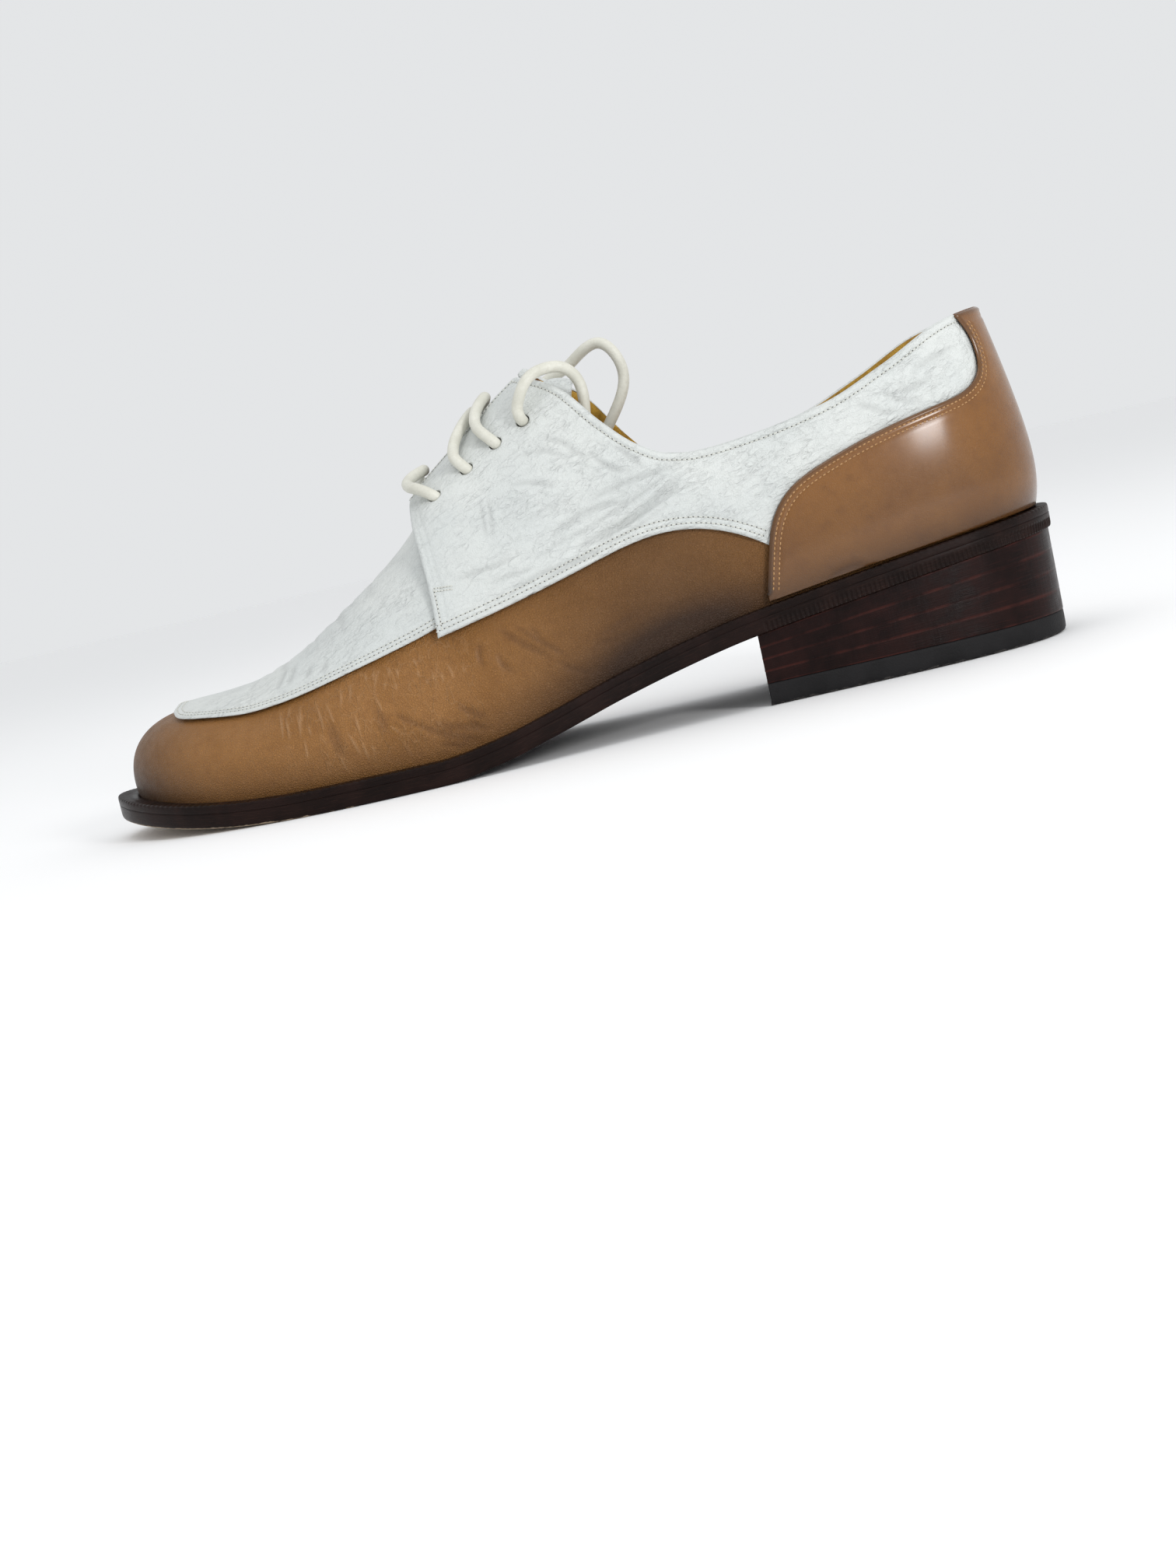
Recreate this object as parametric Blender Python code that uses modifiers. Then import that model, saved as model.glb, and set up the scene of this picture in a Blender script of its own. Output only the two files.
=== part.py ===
"""Two-tone lace-up dress shoe for the left foot, with open (derby) lacing.

The upper is a hollow leather shell drawn over one last form. The apron, quarters and counter are
overlays on that form. It stands on a welted leather sole with a stacked heel.
Sizes are in millimetres and the meshes are written in metres. X runs from the heel to the toe,
Y points to the outer side of the foot, and Z is up from the floor.
"""
from collections import namedtuple

import bmesh
import bpy
import numpy as np
from mathutils import Matrix, Vector

MM = 0.001

# Driving dimensions
SHOE_LENGTH = 280.0
SOLE_THICKNESS = 4.2
WELT_THICKNESS = 2.2
WALL = 1.8
GAP = 0.3
APRON_THICKNESS = 1.2
QUARTER_THICKNESS = 1.4
COUNTER_THICKNESS = 1.6
TONGUE_THICKNESS = 1.5
INSOLE_THICKNESS = 2.4
TOP_LIFT_THICKNESS = 6.3
HEEL_BREAST = 91.0
BREAST_SKEW = 6.0
HEEL_INSET = 1.0
LEATHER_LIFTS = 4
LACE_DIAMETER = 3.2
EYELET_DIAMETER = 4.0
OUTER_EYELET_REACH = 15.6
INNER_EYELET_REACH = 12.0
EYELET_ALONG = (165.4, 156.4, 147.8, 139.4)

# Form of the last: the columns fan about these two points, at the heel and at the toe
HEEL_PIVOT = 35.0
TOE_PIVOT = 246.0
HEEL_COLUMNS = 7
SIDE_COLUMNS = 26
TOE_COLUMNS = 8
COLUMNS = HEEL_COLUMNS + SIDE_COLUMNS + TOE_COLUMNS
BELLY_HEIGHT = 18.0

# Edge of the sole, a row for each place along the foot, with its reach to either side
Outline = namedtuple("Outline", "along outer inner")
SOLE_TIP = (SHOE_LENGTH, -7.5)
SOLE_OUTLINE = [
    Outline(5.0, 15.5, 15.5),
    Outline(18.0, 26.2, 25.6),
    Outline(40.0, 31.6, 30.6),
    Outline(66.0, 32.8, 31.2),
    Outline(95.0, 33.0, 29.4),
    Outline(120.0, 35.6, 28.2),
    Outline(145.0, 40.4, 31.0),
    Outline(170.0, 44.8, 37.4),
    Outline(195.0, 46.6, 43.2),
    Outline(215.0, 45.2, 46.0),
    Outline(235.0, 40.2, 45.0),
    Outline(252.0, 32.4, 40.8),
    Outline(266.0, 21.6, 34.0),
    Outline(275.5, 8.6, 22.6),
]

# Sections of the last: underside of the sole, crest, sideways place of the crest, squareness of the
# section, swell of the side above the welt, and how far the welt stands out
Section = namedtuple("Section", "along bottom crest ridge squareness belly welt")
SECTIONS = [
    Section(0.0, 29.8, 138.0, 0.0, 2.0, 4.0, 7.0),
    Section(20.0, 28.1, 138.0, 0.0, 2.0, 3.4, 6.0),
    Section(48.0, 25.1, 138.0, 0.0, 2.0, 2.6, 5.2),
    Section(75.0, 21.7, 136.0, 0.0, 2.0, 1.8, 4.6),
    Section(95.0, 18.9, 130.0, 0.0, 2.0, 1.1, 3.2),
    Section(112.0, 15.6, 121.0, 0.0, 1.86, 0.8, 2.8),
    Section(131.0, 11.2, 106.5, -0.6, 1.74, 0.8, 3.2),
    Section(150.0, 6.0, 93.0, -1.4, 1.74, 1.0, 3.8),
    Section(167.0, 1.9, 76.8, -2.2, 1.86, 1.3, 4.4),
    Section(182.0, 0.0, 62.4, -3.0, 2.05, 1.6, 4.8),
    Section(200.0, 0.0, 50.0, -4.0, 2.25, 1.8, 5.2),
    Section(222.0, 0.0, 37.8, -5.2, 2.55, 1.8, 5.4),
    Section(235.0, 0.4, 34.2, -5.8, 2.7, 1.6, 5.6),
    Section(250.0, 1.6, 33.2, -6.2, 2.8, 1.4, 6.0),
    Section(265.0, 3.6, 33.2, -6.2, 2.8, 1.2, 6.2),
    Section(280.0, 6.2, 33.2, -6.2, 2.8, 1.0, 6.4),
]

# Cut lines of the upper, by place along the foot and height over the floor
Mark = namedtuple("Mark", "along height")
COLLAR = [
    Mark(8.0, 94.0),
    Mark(23.0, 91.2),
    Mark(42.0, 83.0),
    Mark(60.0, 76.2),
    Mark(80.0, 72.6),
    Mark(96.0, 71.4),
    Mark(105.0, 72.8),
    Mark(112.0, 76.8),
    Mark(120.0, 85.0),
    Mark(128.0, 95.5),
    Mark(136.0, 105.0),
    Mark(150.0, 130.0),
]
QUARTER_SEAM = [
    Mark(84.6, 44.0),
    Mark(93.0, 48.6),
    Mark(101.0, 51.2),
    Mark(112.0, 52.0),
    Mark(131.0, 48.0),
    Mark(158.0, 41.0),
    Mark(175.0, 37.2),
]
COUNTER_EDGE = [
    Mark(20.2, 91.6),
    Mark(17.8, 86.8),
    Mark(16.6, 80.8),
    Mark(17.4, 75.6),
    Mark(21.4, 71.8),
    Mark(28.6, 69.6),
    Mark(46.0, 66.2),
    Mark(64.0, 60.9),
    Mark(75.0, 55.5),
    Mark(81.0, 48.0),
    Mark(84.0, 39.0),
    Mark(86.0, 31.0),
]
# Share of the half width that the apron reaches, by place along the welt seam
Reach = namedtuple("Reach", "along share")
APRON_EDGE = [
    Reach(160.0, 0.83),
    Reach(203.0, 0.81),
    Reach(225.0, 0.77),
    Reach(246.0, 0.69),
    Reach(256.0, 0.64),
    Reach(263.0, 0.53),
    Reach(269.0, 0.41),
    Reach(274.0, 0.36),
]
APRON_BACK = 168.0
THROAT_FRONT = 167.0
THROAT_HALF_WIDTH = 3.0
THROAT_TAPER = 8.0
COLLAR_DIP = 96.0
FACING_FRONT = 172.0
FACING_HALF_WIDTH = 2.2
FLAP_RISE = 1.6
FLAP_LIFT = 3.4
FLAP_BACK = 148.0
RISE_BACK = 98.0
RISE_FRONT = 150.0
JOINT = 0.7
COUNTER_FOOT = 1.3
COUNTER_GAP = 0.7
APRON_GAP = 0.45
TONGUE_GAP = 1.5
TONGUE_TOP = 133.0
TONGUE_FRONT = 180.0
TONGUE_ROUND = 7.0
TONGUE_HALF_WIDTH = (22.0, 16.0)
BAR_ARCH = 1.2

# Free ends of the lace, from off the top eyelets to inside the collar
Stop = namedtuple("Stop", "along across height")
OUTER_END = [
    Stop(139.9, 17.4, 96.6),
    Stop(136.5, 17.6, 101.0),
    Stop(131.6, 15.6, 102.8),
    Stop(126.6, 14.0, 102.2),
    Stop(123.2, 13.0, 98.4),
    Stop(122.6, 12.8, 92.2),
    Stop(124.2, 12.6, 83.0),
]
INNER_END = [
    Stop(138.6, -17.0, 95.4),
    Stop(132.8, -16.0, 101.0),
    Stop(125.6, -13.0, 103.6),
    Stop(120.3, -10.0, 106.7),
    Stop(114.3, -7.0, 108.2),
    Stop(110.5, -5.5, 103.8),
    Stop(109.6, -5.0, 97.1),
    Stop(112.8, -5.0, 90.1),
    Stop(118.6, -6.5, 82.6),
]


def table(rows, column):
    """Smooth function of the place along the foot through one column, with no overshoot."""
    x = np.array([row[0] for row in rows])
    y = np.array([getattr(row, column) for row in rows])
    step = np.diff(x)
    rise = np.diff(y) / step
    slope = np.zeros(len(x))
    slope[0], slope[-1] = rise[0], rise[-1]
    same_way = rise[:-1] * rise[1:] > 0.0
    before, after = rise[:-1][same_way], rise[1:][same_way]
    slope[1:-1][same_way] = 2.0 * before * after / (before + after)

    def value(at):
        at = np.clip(at, x[0], x[-1])
        i = np.clip(np.searchsorted(x, at, side="right") - 1, 0, len(step) - 1)
        s = (at - x[i]) / step[i]
        blend = s * s * (3.0 - 2.0 * s)
        ease_in = s * (1.0 - s) ** 2 * slope[i]
        ease_out = s * s * (s - 1.0) * slope[i + 1]
        return y[i] + blend * (y[i + 1] - y[i]) + step[i] * (ease_in + ease_out)

    return value


def curve_through(points, count, closed=False):
    """Evenly spaced points on a smooth cubic curve through the given ones."""
    points = np.array(points, float)
    if closed:
        points = np.vstack([points[-3:], points, points[:4]])
    at = np.concatenate([[0.0], np.cumsum(np.linalg.norm(np.diff(points, axis=0), axis=1))])
    step = np.diff(at)[:, None]
    rise = np.diff(points, axis=0) / step
    size = len(points)
    system = np.eye(size)
    wanted = np.vstack([rise[:1], np.zeros((size - 2, points.shape[1])), rise[-1:]])
    for i in range(1, size - 1):
        left, right = step[i - 1, 0], step[i, 0]
        system[i, i - 1:i + 2] = right, 2.0 * (left + right), left
        wanted[i] = 3.0 * (right * rise[i - 1] + left * rise[i])
    slope = np.linalg.solve(system, wanted)
    start, stop = (at[3], at[-4]) if closed else (at[0], at[-1])

    def place(where):
        i = np.clip(np.searchsorted(at, where, side="right") - 1, 0, size - 2)
        s = ((where - at[i]) / step[i, 0])[:, None]
        cubic = slope[i] * s * (1.0 - s) ** 2 + slope[i + 1] * s * s * (s - 1.0)
        return points[i] + (points[i + 1] - points[i]) * s * s * (3.0 - 2.0 * s) + cubic * step[i]

    fine = np.linspace(start, stop, 3000)
    length = np.concatenate([[0.0], np.cumsum(np.linalg.norm(np.diff(place(fine), axis=0), axis=1))])
    return place(np.interp(np.linspace(0.0, length[-1], count), length, fine))


def ease(value, start, stop):
    """Smooth step from 0 at start to 1 at stop."""
    s = np.clip((value - start) / (stop - start), 0.0, 1.0)
    return s * s * (3.0 - 2.0 * s)


bottom = table(SECTIONS, "bottom")
crest = table(SECTIONS, "crest")
ridge = table(SECTIONS, "ridge")
squareness = table(SECTIONS, "squareness")
belly = table(SECTIONS, "belly")
welt_edge = table(SECTIONS, "welt")
collar_height = table(COLLAR, "height")
apron_share = table(APRON_EDGE, "share")


def swell_share(height):
    """Share of the belly at a height over the seat, greatest at the height of the belly."""
    part = height / BELLY_HEIGHT
    return part * np.exp(1.0 - part)


def seat(along):
    """Height of what stands on the outsole: the lower edge of the upper, the welt and the insole."""
    return bottom(along) + SOLE_THICKNESS + GAP


def sole_loop():
    outer = [(row.along, row.outer) for row in SOLE_OUTLINE]
    inner = [(row.along, -row.inner) for row in reversed(SOLE_OUTLINE)]
    loop = curve_through([(0.0, 0.0)] + outer + [SOLE_TIP] + inner, 2400, closed=True)
    middle = (loop[:, 1].max() + loop[:, 1].min()) / 2.0
    return loop - (0.0, middle)


def inset_loop(loop, distance):
    """The loop drawn in by a distance for each point, for a loop that runs clockwise from above."""
    ahead = np.roll(loop[:-1], -1, axis=0) - np.roll(loop[:-1], 1, axis=0)
    inward = np.stack([ahead[:, 1], -ahead[:, 0]], axis=1)
    inward /= np.linalg.norm(inward, axis=1, keepdims=True)
    moved = loop[:-1] + inward * np.broadcast_to(distance, (len(loop) - 1,))[:, None]
    return np.vstack([moved, moved[:1]])


def trace(loop):
    """Both halves of a loop from heel to toe, sampled at even shares of the columns."""
    ring = loop[:-1]
    ring = np.roll(ring, -int(ring[:, 0].argmin()), axis=0)
    tip = int(ring[:, 0].argmax())
    halves = (ring[:tip + 1], np.vstack([ring[:1], ring[:tip - 1:-1]]))
    traced = []
    for half in halves:
        length = np.concatenate([[0.0], np.cumsum(np.linalg.norm(np.diff(half, axis=0), axis=1))])
        heel_end = np.interp(HEEL_PIVOT, half[:, 0], length)
        toe_start = np.interp(TOE_PIVOT, half[:, 0], length)
        side_stations = np.linspace(HEEL_PIVOT, TOE_PIVOT, SIDE_COLUMNS * 10 + 1)
        side_lengths = np.interp(side_stations, half[:, 0], length)
        heel_lengths = np.linspace(0.0, heel_end, HEEL_COLUMNS * 10 + 1)
        toe_lengths = np.linspace(toe_start, length[-1], TOE_COLUMNS * 10 + 1)
        at = np.concatenate([heel_lengths, side_lengths[1:], toe_lengths[1:]])
        traced.append(np.stack([np.interp(at, length, half[:, 0]), np.interp(at, length, half[:, 1])], 1))
    return traced


def around(traced, turn):
    """Point of a traced loop. A turn of 0 is the heel, 1 the toe, and 2 the heel again."""
    turn = np.mod(turn, 2.0)
    share = np.where(turn <= 1.0, turn, 2.0 - turn)
    grid = np.linspace(0.0, 1.0, len(traced[0]))
    points = [np.stack([np.interp(share, grid, half[:, i]) for i in (0, 1)], -1) for half in traced]
    return np.where((turn <= 1.0)[..., None], points[0], points[1])


SOLE_LOOP = sole_loop()
FEATHER_LOOP = inset_loop(SOLE_LOOP, welt_edge(SOLE_LOOP[:-1, 0]))
SOLE_TRACE = trace(SOLE_LOOP)
FEATHER_TRACE = trace(FEATHER_LOOP)
WELT_TRACE = trace(inset_loop(FEATHER_LOOP, -GAP - swell_share(WELT_THICKNESS) * belly(FEATHER_LOOP[:-1, 0])))
INSOLE_TRACE = trace(inset_loop(FEATHER_LOOP, WALL + GAP))
HEEL_TRACE = trace(inset_loop(SOLE_LOOP, HEEL_INSET))


def skin(turn, climb):
    """Outer face of the upper. Climb runs from 0 at the welt seam to 1 on the ridge of the foot."""
    turn, climb = np.broadcast_arrays(np.asarray(turn, float), np.asarray(climb, float))
    foot = around(FEATHER_TRACE, turn)
    along = foot[..., 0]
    middle = np.clip(along, HEEL_PIVOT, TOE_PIVOT)
    middle = np.stack([middle, ridge(middle)], -1)
    power = squareness(along)
    angle = climb * np.pi / 2.0
    run, rise = np.abs(np.cos(angle)), np.sin(angle)
    radius = (run ** power + rise ** power) ** (1.0 / power)
    run, rise = run / radius, rise / radius
    low = seat(along)
    high = crest(middle[..., 0])
    swell = belly(along) * swell_share((high - low) * rise)
    spread = foot - middle
    width = np.linalg.norm(spread, axis=-1)
    plan = middle + spread * (run * (1.0 + swell / width))[..., None]
    return np.concatenate([plan, (low + (high - low) * rise)[..., None]], -1)


def leather(turn, climb, offset):
    """The skin moved out along its own normal by an offset, or in by a negative one."""
    turn, climb = np.broadcast_arrays(np.asarray(turn, float), np.asarray(climb, float))
    inside = np.clip(climb, 0.002, 0.996)
    small = 0.002
    ahead = skin(turn + small, inside) - skin(turn - small, inside)
    upward = skin(turn, inside + small) - skin(turn, inside - small)
    normal = np.cross(upward, ahead)
    normal /= np.linalg.norm(normal, axis=-1, keepdims=True)
    return skin(turn, climb) + normal * np.broadcast_to(offset, turn.shape)[..., None]


def climb_for_share(turn, share):
    """Climb where the skin lies at a share of its half width from the ridge."""
    power = squareness(around(FEATHER_TRACE, turn)[..., 0])
    share = np.clip(share, 0.0, 1.0)
    return np.arctan2((1.0 - share ** power) ** (1.0 / power), share) * 2.0 / np.pi


def climb_for_height(turn, height_at):
    """Climb where the skin reaches a height that is a function of the place along the foot."""
    low, high = np.zeros_like(turn), np.ones_like(turn)
    for _ in range(30):
        middle = (low + high) / 2.0
        point = skin(turn, middle)
        under = point[..., 2] < height_at(point[..., 0])
        low, high = np.where(under, middle, low), np.where(under, high, middle)
    return (low + high) / 2.0


def locate(marks, side):
    """Turn and climb of marks given by place along the foot and height, on the outer or inner side."""
    share = np.linspace(0.0, 1.0, len(FEATHER_TRACE[0]))
    foot_along = FEATHER_TRACE[0 if side > 0 else 1][:, 0]
    along, height = marks[:, 0], marks[:, 1]
    part = np.interp(along, foot_along, share)
    for _ in range(12):
        turn = part if side > 0 else 2.0 - part
        climb = climb_for_height(turn, lambda at: height)
        miss = along - skin(turn, climb)[..., 0]
        part = np.interp(np.interp(part, share, foot_along) + miss, foot_along, share)
    return np.stack([part if side > 0 else 2.0 - part, climb], -1)


def throat_climb(turn, front, half_width):
    """Climb of the edge of the throat slit, or 1 where the upper is whole ahead of it."""
    foot = around(FEATHER_TRACE, turn)
    reach = np.abs(foot[..., 1] - ridge(foot[..., 0]))
    opening = half_width * np.sqrt(np.clip((front - foot[..., 0]) / THROAT_TAPER, 0.0, 1.0))
    return np.where(foot[..., 0] > COLLAR_DIP, climb_for_share(turn, opening / reach), 1.0)


def turn_at(along, side):
    part = np.interp(along, FEATHER_TRACE[0 if side > 0 else 1][:, 0], np.linspace(0, 1, len(FEATHER_TRACE[0])))
    return part if side > 0 else 2.0 - part


def world(points):
    """Millimetres from the back of the heel to metres from the middle of the shoe."""
    return (np.asarray(points) - (SHOE_LENGTH / 2.0, 0.0, 0.0)) * MM


for old in list(bpy.data.objects):
    bpy.data.objects.remove(old)
shoe = bpy.data.collections.new("lace_up_shoe")
cutters = bpy.data.collections.new("cutters")
bpy.context.scene.collection.children.link(shoe)
bpy.context.scene.collection.children.link(cutters)


def finish(name, red, green, blue, roughness):
    material = bpy.data.materials.new(name)
    material.use_nodes = True
    principled = material.node_tree.nodes["Principled BSDF"]
    principled.inputs["Base Color"].default_value = (red, green, blue, 1.0)
    principled.inputs["Roughness"].default_value = roughness
    return material


TAN = finish("tan_calf", 0.26, 0.13, 0.05, 0.42)
WHITE = finish("white_grain_leather", 0.76, 0.78, 0.76, 0.48)
OCHRE = finish("ochre_lining", 0.50, 0.30, 0.06, 0.75)
BROWN = finish("dark_brown_sole_leather", 0.020, 0.012, 0.010, 0.45)
STACK = finish("stacked_heel_leather", 0.034, 0.012, 0.012, 0.35)
RUBBER = finish("black_rubber", 0.022, 0.022, 0.024, 0.6)
LACE = finish("waxed_cream_lace", 0.78, 0.78, 0.70, 0.55)


def add_object(name, bm, material):
    """Welds a mesh, turns its faces outwards and puts it in the shoe."""
    bmesh.ops.remove_doubles(bm, verts=bm.verts, dist=0.02 * MM)
    bmesh.ops.dissolve_degenerate(bm, edges=bm.edges, dist=0.005 * MM)
    bmesh.ops.recalc_face_normals(bm, faces=bm.faces)
    mesh = bpy.data.meshes.new(name)
    bm.to_mesh(mesh)
    bm.free()
    mesh.shade_smooth()
    mesh.set_sharp_from_angle(angle=np.radians(40.0))
    mesh.materials.append(material)
    part = bpy.data.objects.new(name, mesh)
    shoe.objects.link(part)
    return part


def mapped_grid(across, up, shape):
    """A grid whose points go where shape puts their two shares, each from 0 to 1."""
    bm = bmesh.new()
    bmesh.ops.create_grid(bm, x_segments=across, y_segments=up, size=1.0)
    shares = np.array([vert.co[:2] for vert in bm.verts]) / 2.0 + 0.5
    for vert, point in zip(bm.verts, world(shape(shares[:, 0], shares[:, 1]))):
        vert.co = point
    return bm


def ruled_patch(name, lower, upper, rows, offset, material, lean=1):
    """Leather between two cut lines, each a row of turns and climbs of the same length.

    A lean above 1 keeps the grid lines upright low down and turns them to the upper line near it.
    """
    count = len(lower) - 1

    def shape(across, up):
        column = np.rint(across * count).astype(int)
        at = lower[column] + (upper[column] - lower[column]) * np.stack([up ** lean, up], -1)
        lift = offset(at[:, 0], at[:, 1]) if callable(offset) else offset
        return leather(at[:, 0], at[:, 1], lift)

    return add_object(name, mapped_grid(count, rows, shape), material)


def thicken(part, thickness, outward):
    wall = part.modifiers.new("wall", "SOLIDIFY")
    wall.thickness = thickness * MM
    wall.offset = 1.0 if outward else -1.0


def plate(name, traced, low, high, material, outer_end=SHOE_LENGTH, inner_end=SHOE_LENGTH):
    """A plate inside a traced loop, between two heights, cut off at a place along either side."""
    shares = np.linspace(0.0, 1.0, len(traced[0]))
    outer_last = np.interp(outer_end, traced[0][:, 0], shares)
    inner_last = np.interp(inner_end, traced[1][:, 0], shares)
    count = round(COLUMNS * outer_last)

    def shape(across, up):
        outer = around(traced, across * outer_last)
        inner = around(traced, 2.0 - across * inner_last)
        flat = outer + (inner - outer) * up[:, None]
        return np.column_stack([flat, low(flat[:, 0])])

    bm = mapped_grid(count, 1, shape)
    bmesh.ops.remove_doubles(bm, verts=bm.verts, dist=0.02 * MM)
    grown = bmesh.ops.extrude_face_region(bm, geom=bm.faces[:])
    for item in grown["geom"]:
        if isinstance(item, bmesh.types.BMVert):
            along = item.co.x / MM + SHOE_LENGTH / 2.0
            item.co.z = float(high(along)) * MM
    return add_object(name, bm, material)


# Leather outsole, with its arch and toe spring
plate("outsole", SOLE_TRACE, bottom, lambda at: bottom(at) + SOLE_THICKNESS, BROWN)

# Stacked heel: a rubber top lift on the floor and leather lifts that fan out to the sloped seat
plate("top_lift", HEEL_TRACE, np.zeros_like, lambda at: TOP_LIFT_THICKNESS, RUBBER,
      HEEL_BREAST, HEEL_BREAST - BREAST_SKEW)


def lift_face(number):
    """Lower face of a leather lift, counted from 0 above the rubber."""
    share = number / LEATHER_LIFTS
    floor_side = TOP_LIFT_THICKNESS + GAP
    return lambda at: floor_side + (bottom(at) - floor_side) * share


for lift in range(LEATHER_LIFTS):
    top = lift_face(lift + 1)
    plate(f"heel_lift_{lift + 1}", HEEL_TRACE, lift_face(lift), lambda at: top(at) - GAP, STACK,
          HEEL_BREAST, HEEL_BREAST - BREAST_SKEW)


# Welt all round, lying on the outsole outside the upper
def welt_shape(across, up):
    inner = around(WELT_TRACE, across * 2.0)
    outer = around(SOLE_TRACE, across * 2.0)
    flat = inner + (outer - inner) * up[:, None]
    return np.column_stack([flat, seat(flat[:, 0])])


welt_mesh = mapped_grid(2 * COLUMNS, 1, welt_shape)
bmesh.ops.remove_doubles(welt_mesh, verts=welt_mesh.verts, dist=0.02 * MM)
raised = bmesh.ops.extrude_face_region(welt_mesh, geom=welt_mesh.faces[:])
raised_verts = [item for item in raised["geom"] if isinstance(item, bmesh.types.BMVert)]
bmesh.ops.translate(welt_mesh, verts=raised_verts, vec=(0.0, 0.0, WELT_THICKNESS * MM))
add_object("welt", welt_mesh, BROWN)

# Insole inside the upper
plate("insole", INSOLE_TRACE, seat, lambda at: seat(at) + INSOLE_THICKNESS, OCHRE)

# Hollow upper, open underneath, at the collar and along the throat slit
turns = np.linspace(0.0, 2.0, 2 * COLUMNS + 1)
upper_top = np.minimum(climb_for_height(turns, collar_height),
                       throat_climb(turns, THROAT_FRONT, THROAT_HALF_WIDTH))
upper = ruled_patch("upper", np.stack([turns, np.zeros_like(turns)], -1),
                    np.stack([turns, upper_top], -1), 11, 0.0, TAN)
thicken(upper, WALL, outward=False)

# White apron over the toe and vamp, from the facings forward
apron_turns = np.concatenate([[turn_at(APRON_BACK, 1)], turns[(turns > turn_at(APRON_BACK, 1) + 0.01)
                              & (turns < turn_at(APRON_BACK, -1) - 0.01)], [turn_at(APRON_BACK, -1)]])
apron_low = climb_for_share(apron_turns, apron_share(around(FEATHER_TRACE, apron_turns)[:, 0]))
apron = ruled_patch("apron", np.stack([apron_turns, apron_low], -1),
                    np.stack([apron_turns, np.ones_like(apron_turns)], -1), 6, APRON_GAP, WHITE)
thicken(apron, APRON_THICKNESS, outward=True)


def flap_offset(turn, climb):
    """Rise of a quarter over the apron, and its lift off the vamp towards its free front edge."""
    along = around(FEATHER_TRACE, turn)[..., 0]
    rise = FLAP_RISE * ease(along, RISE_BACK, RISE_FRONT)
    lift = FLAP_LIFT * ease(along, FLAP_BACK, FACING_FRONT) * ease(climb, 0.36, 0.75)
    return GAP + rise + lift


def shifted(path, distance):
    """A cut line in side view moved to its left hand by a distance."""
    ahead = np.gradient(path, axis=0)
    left = np.stack([-ahead[:, 1], ahead[:, 0]], -1)
    return path + distance * left / np.linalg.norm(left, axis=1, keepdims=True)


# White quarters with the lace facings, one on each side, over the vamp and up to the counter
SEAM_POINTS = 14
COUNTER_POINTS = curve_through(COUNTER_EDGE, 18)
eyelet_places = {}
for side, name, eyelet_reach in ((1, "quarter_outer", OUTER_EYELET_REACH),
                                 (-1, "quarter_inner", INNER_EYELET_REACH)):
    back_edge = shifted(COUNTER_POINTS, JOINT)[COUNTER_POINTS[:, 1] > QUARTER_SEAM[0].height + 2.0]
    lower = locate(np.vstack([back_edge, curve_through(QUARTER_SEAM, SEAM_POINTS)]), side)
    upper_turns = np.linspace(lower[0, 0], turn_at(FACING_FRONT, side), len(lower))
    top = np.minimum(climb_for_height(upper_turns, collar_height),
                     throat_climb(upper_turns, SHOE_LENGTH, FACING_HALF_WIDTH))
    top[0] = lower[0, 1] + 0.01
    quarter = ruled_patch(name, lower, np.stack([upper_turns, top], -1), 7, flap_offset, WHITE)
    thicken(quarter, QUARTER_THICKNESS, outward=True)

    rows = turn_at(np.array(EYELET_ALONG), side)
    reach = np.abs(around(FEATHER_TRACE, rows)[:, 1] - ridge(np.array(EYELET_ALONG)))
    eyelet_climb = climb_for_share(rows, eyelet_reach / reach)
    eyelet_places[side] = (rows, eyelet_climb)
    hole_mesh = bmesh.new()
    for turn, climb in zip(rows, eyelet_climb):
        middle = Vector(world(skin(turn, climb)))
        outward = Vector(world(leather(turn, climb, 1.0))) - middle
        stand = Matrix.Translation(middle) @ outward.to_track_quat("Z", "Y").to_matrix().to_4x4()
        bmesh.ops.create_cone(hole_mesh, cap_ends=True, segments=12, radius1=EYELET_DIAMETER / 2.0 * MM,
                              radius2=EYELET_DIAMETER / 2.0 * MM, depth=24.0 * MM, matrix=stand)
    hole_data = bpy.data.meshes.new(f"eyelet_holes_{name}")
    hole_mesh.to_mesh(hole_data)
    hole_mesh.free()
    holes = bpy.data.objects.new(f"eyelet_holes_{name}", hole_data)
    holes.hide_render = True
    holes.display_type = "WIRE"
    cutters.objects.link(holes)
    for punched in (quarter, upper):
        cut = punched.modifiers.new("eyelets", "BOOLEAN")
        cut.operation = "DIFFERENCE"
        cut.object = holes

# Tan counter round the heel, with a tab up to the back of the collar. Its grid lines lean out to the
# side of the tab, so that they don't cross where the edge turns in under it
narrowest = int(COUNTER_POINTS[:, 0].argmin())
RIM_POINTS = 6
counter_lines = []
for side in (1, -1):
    edge = locate(COUNTER_POINTS, side)
    edge[:, 0] = np.abs(edge[:, 0] - (0.0 if side > 0 else 2.0))
    rim_turns = np.linspace(0.0, edge[0, 0], RIM_POINTS + 1)[:-1]
    rim = np.stack([rim_turns, climb_for_height(rim_turns * side, collar_height)], -1)
    top_line = np.vstack([rim, edge])
    column = np.arange(len(top_line))
    low_turns = np.interp(column, [0, RIM_POINTS + narrowest, column[-1]],
                          [0.0, edge[narrowest, 0] * 0.96, edge[-1, 0]])
    low_climbs = climb_for_height(low_turns * side, lambda at: seat(at) + WELT_THICKNESS + COUNTER_FOOT)
    lines = np.stack([np.stack([low_turns, low_climbs], -1), top_line]) * (side, 1.0)
    counter_lines.append(lines if side > 0 else lines[:, :0:-1])
counter_low, counter_top = np.concatenate(counter_lines[::-1], axis=1)
counter = ruled_patch("counter", counter_low, counter_top, 6, COUNTER_GAP, TAN, lean=3)
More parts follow.
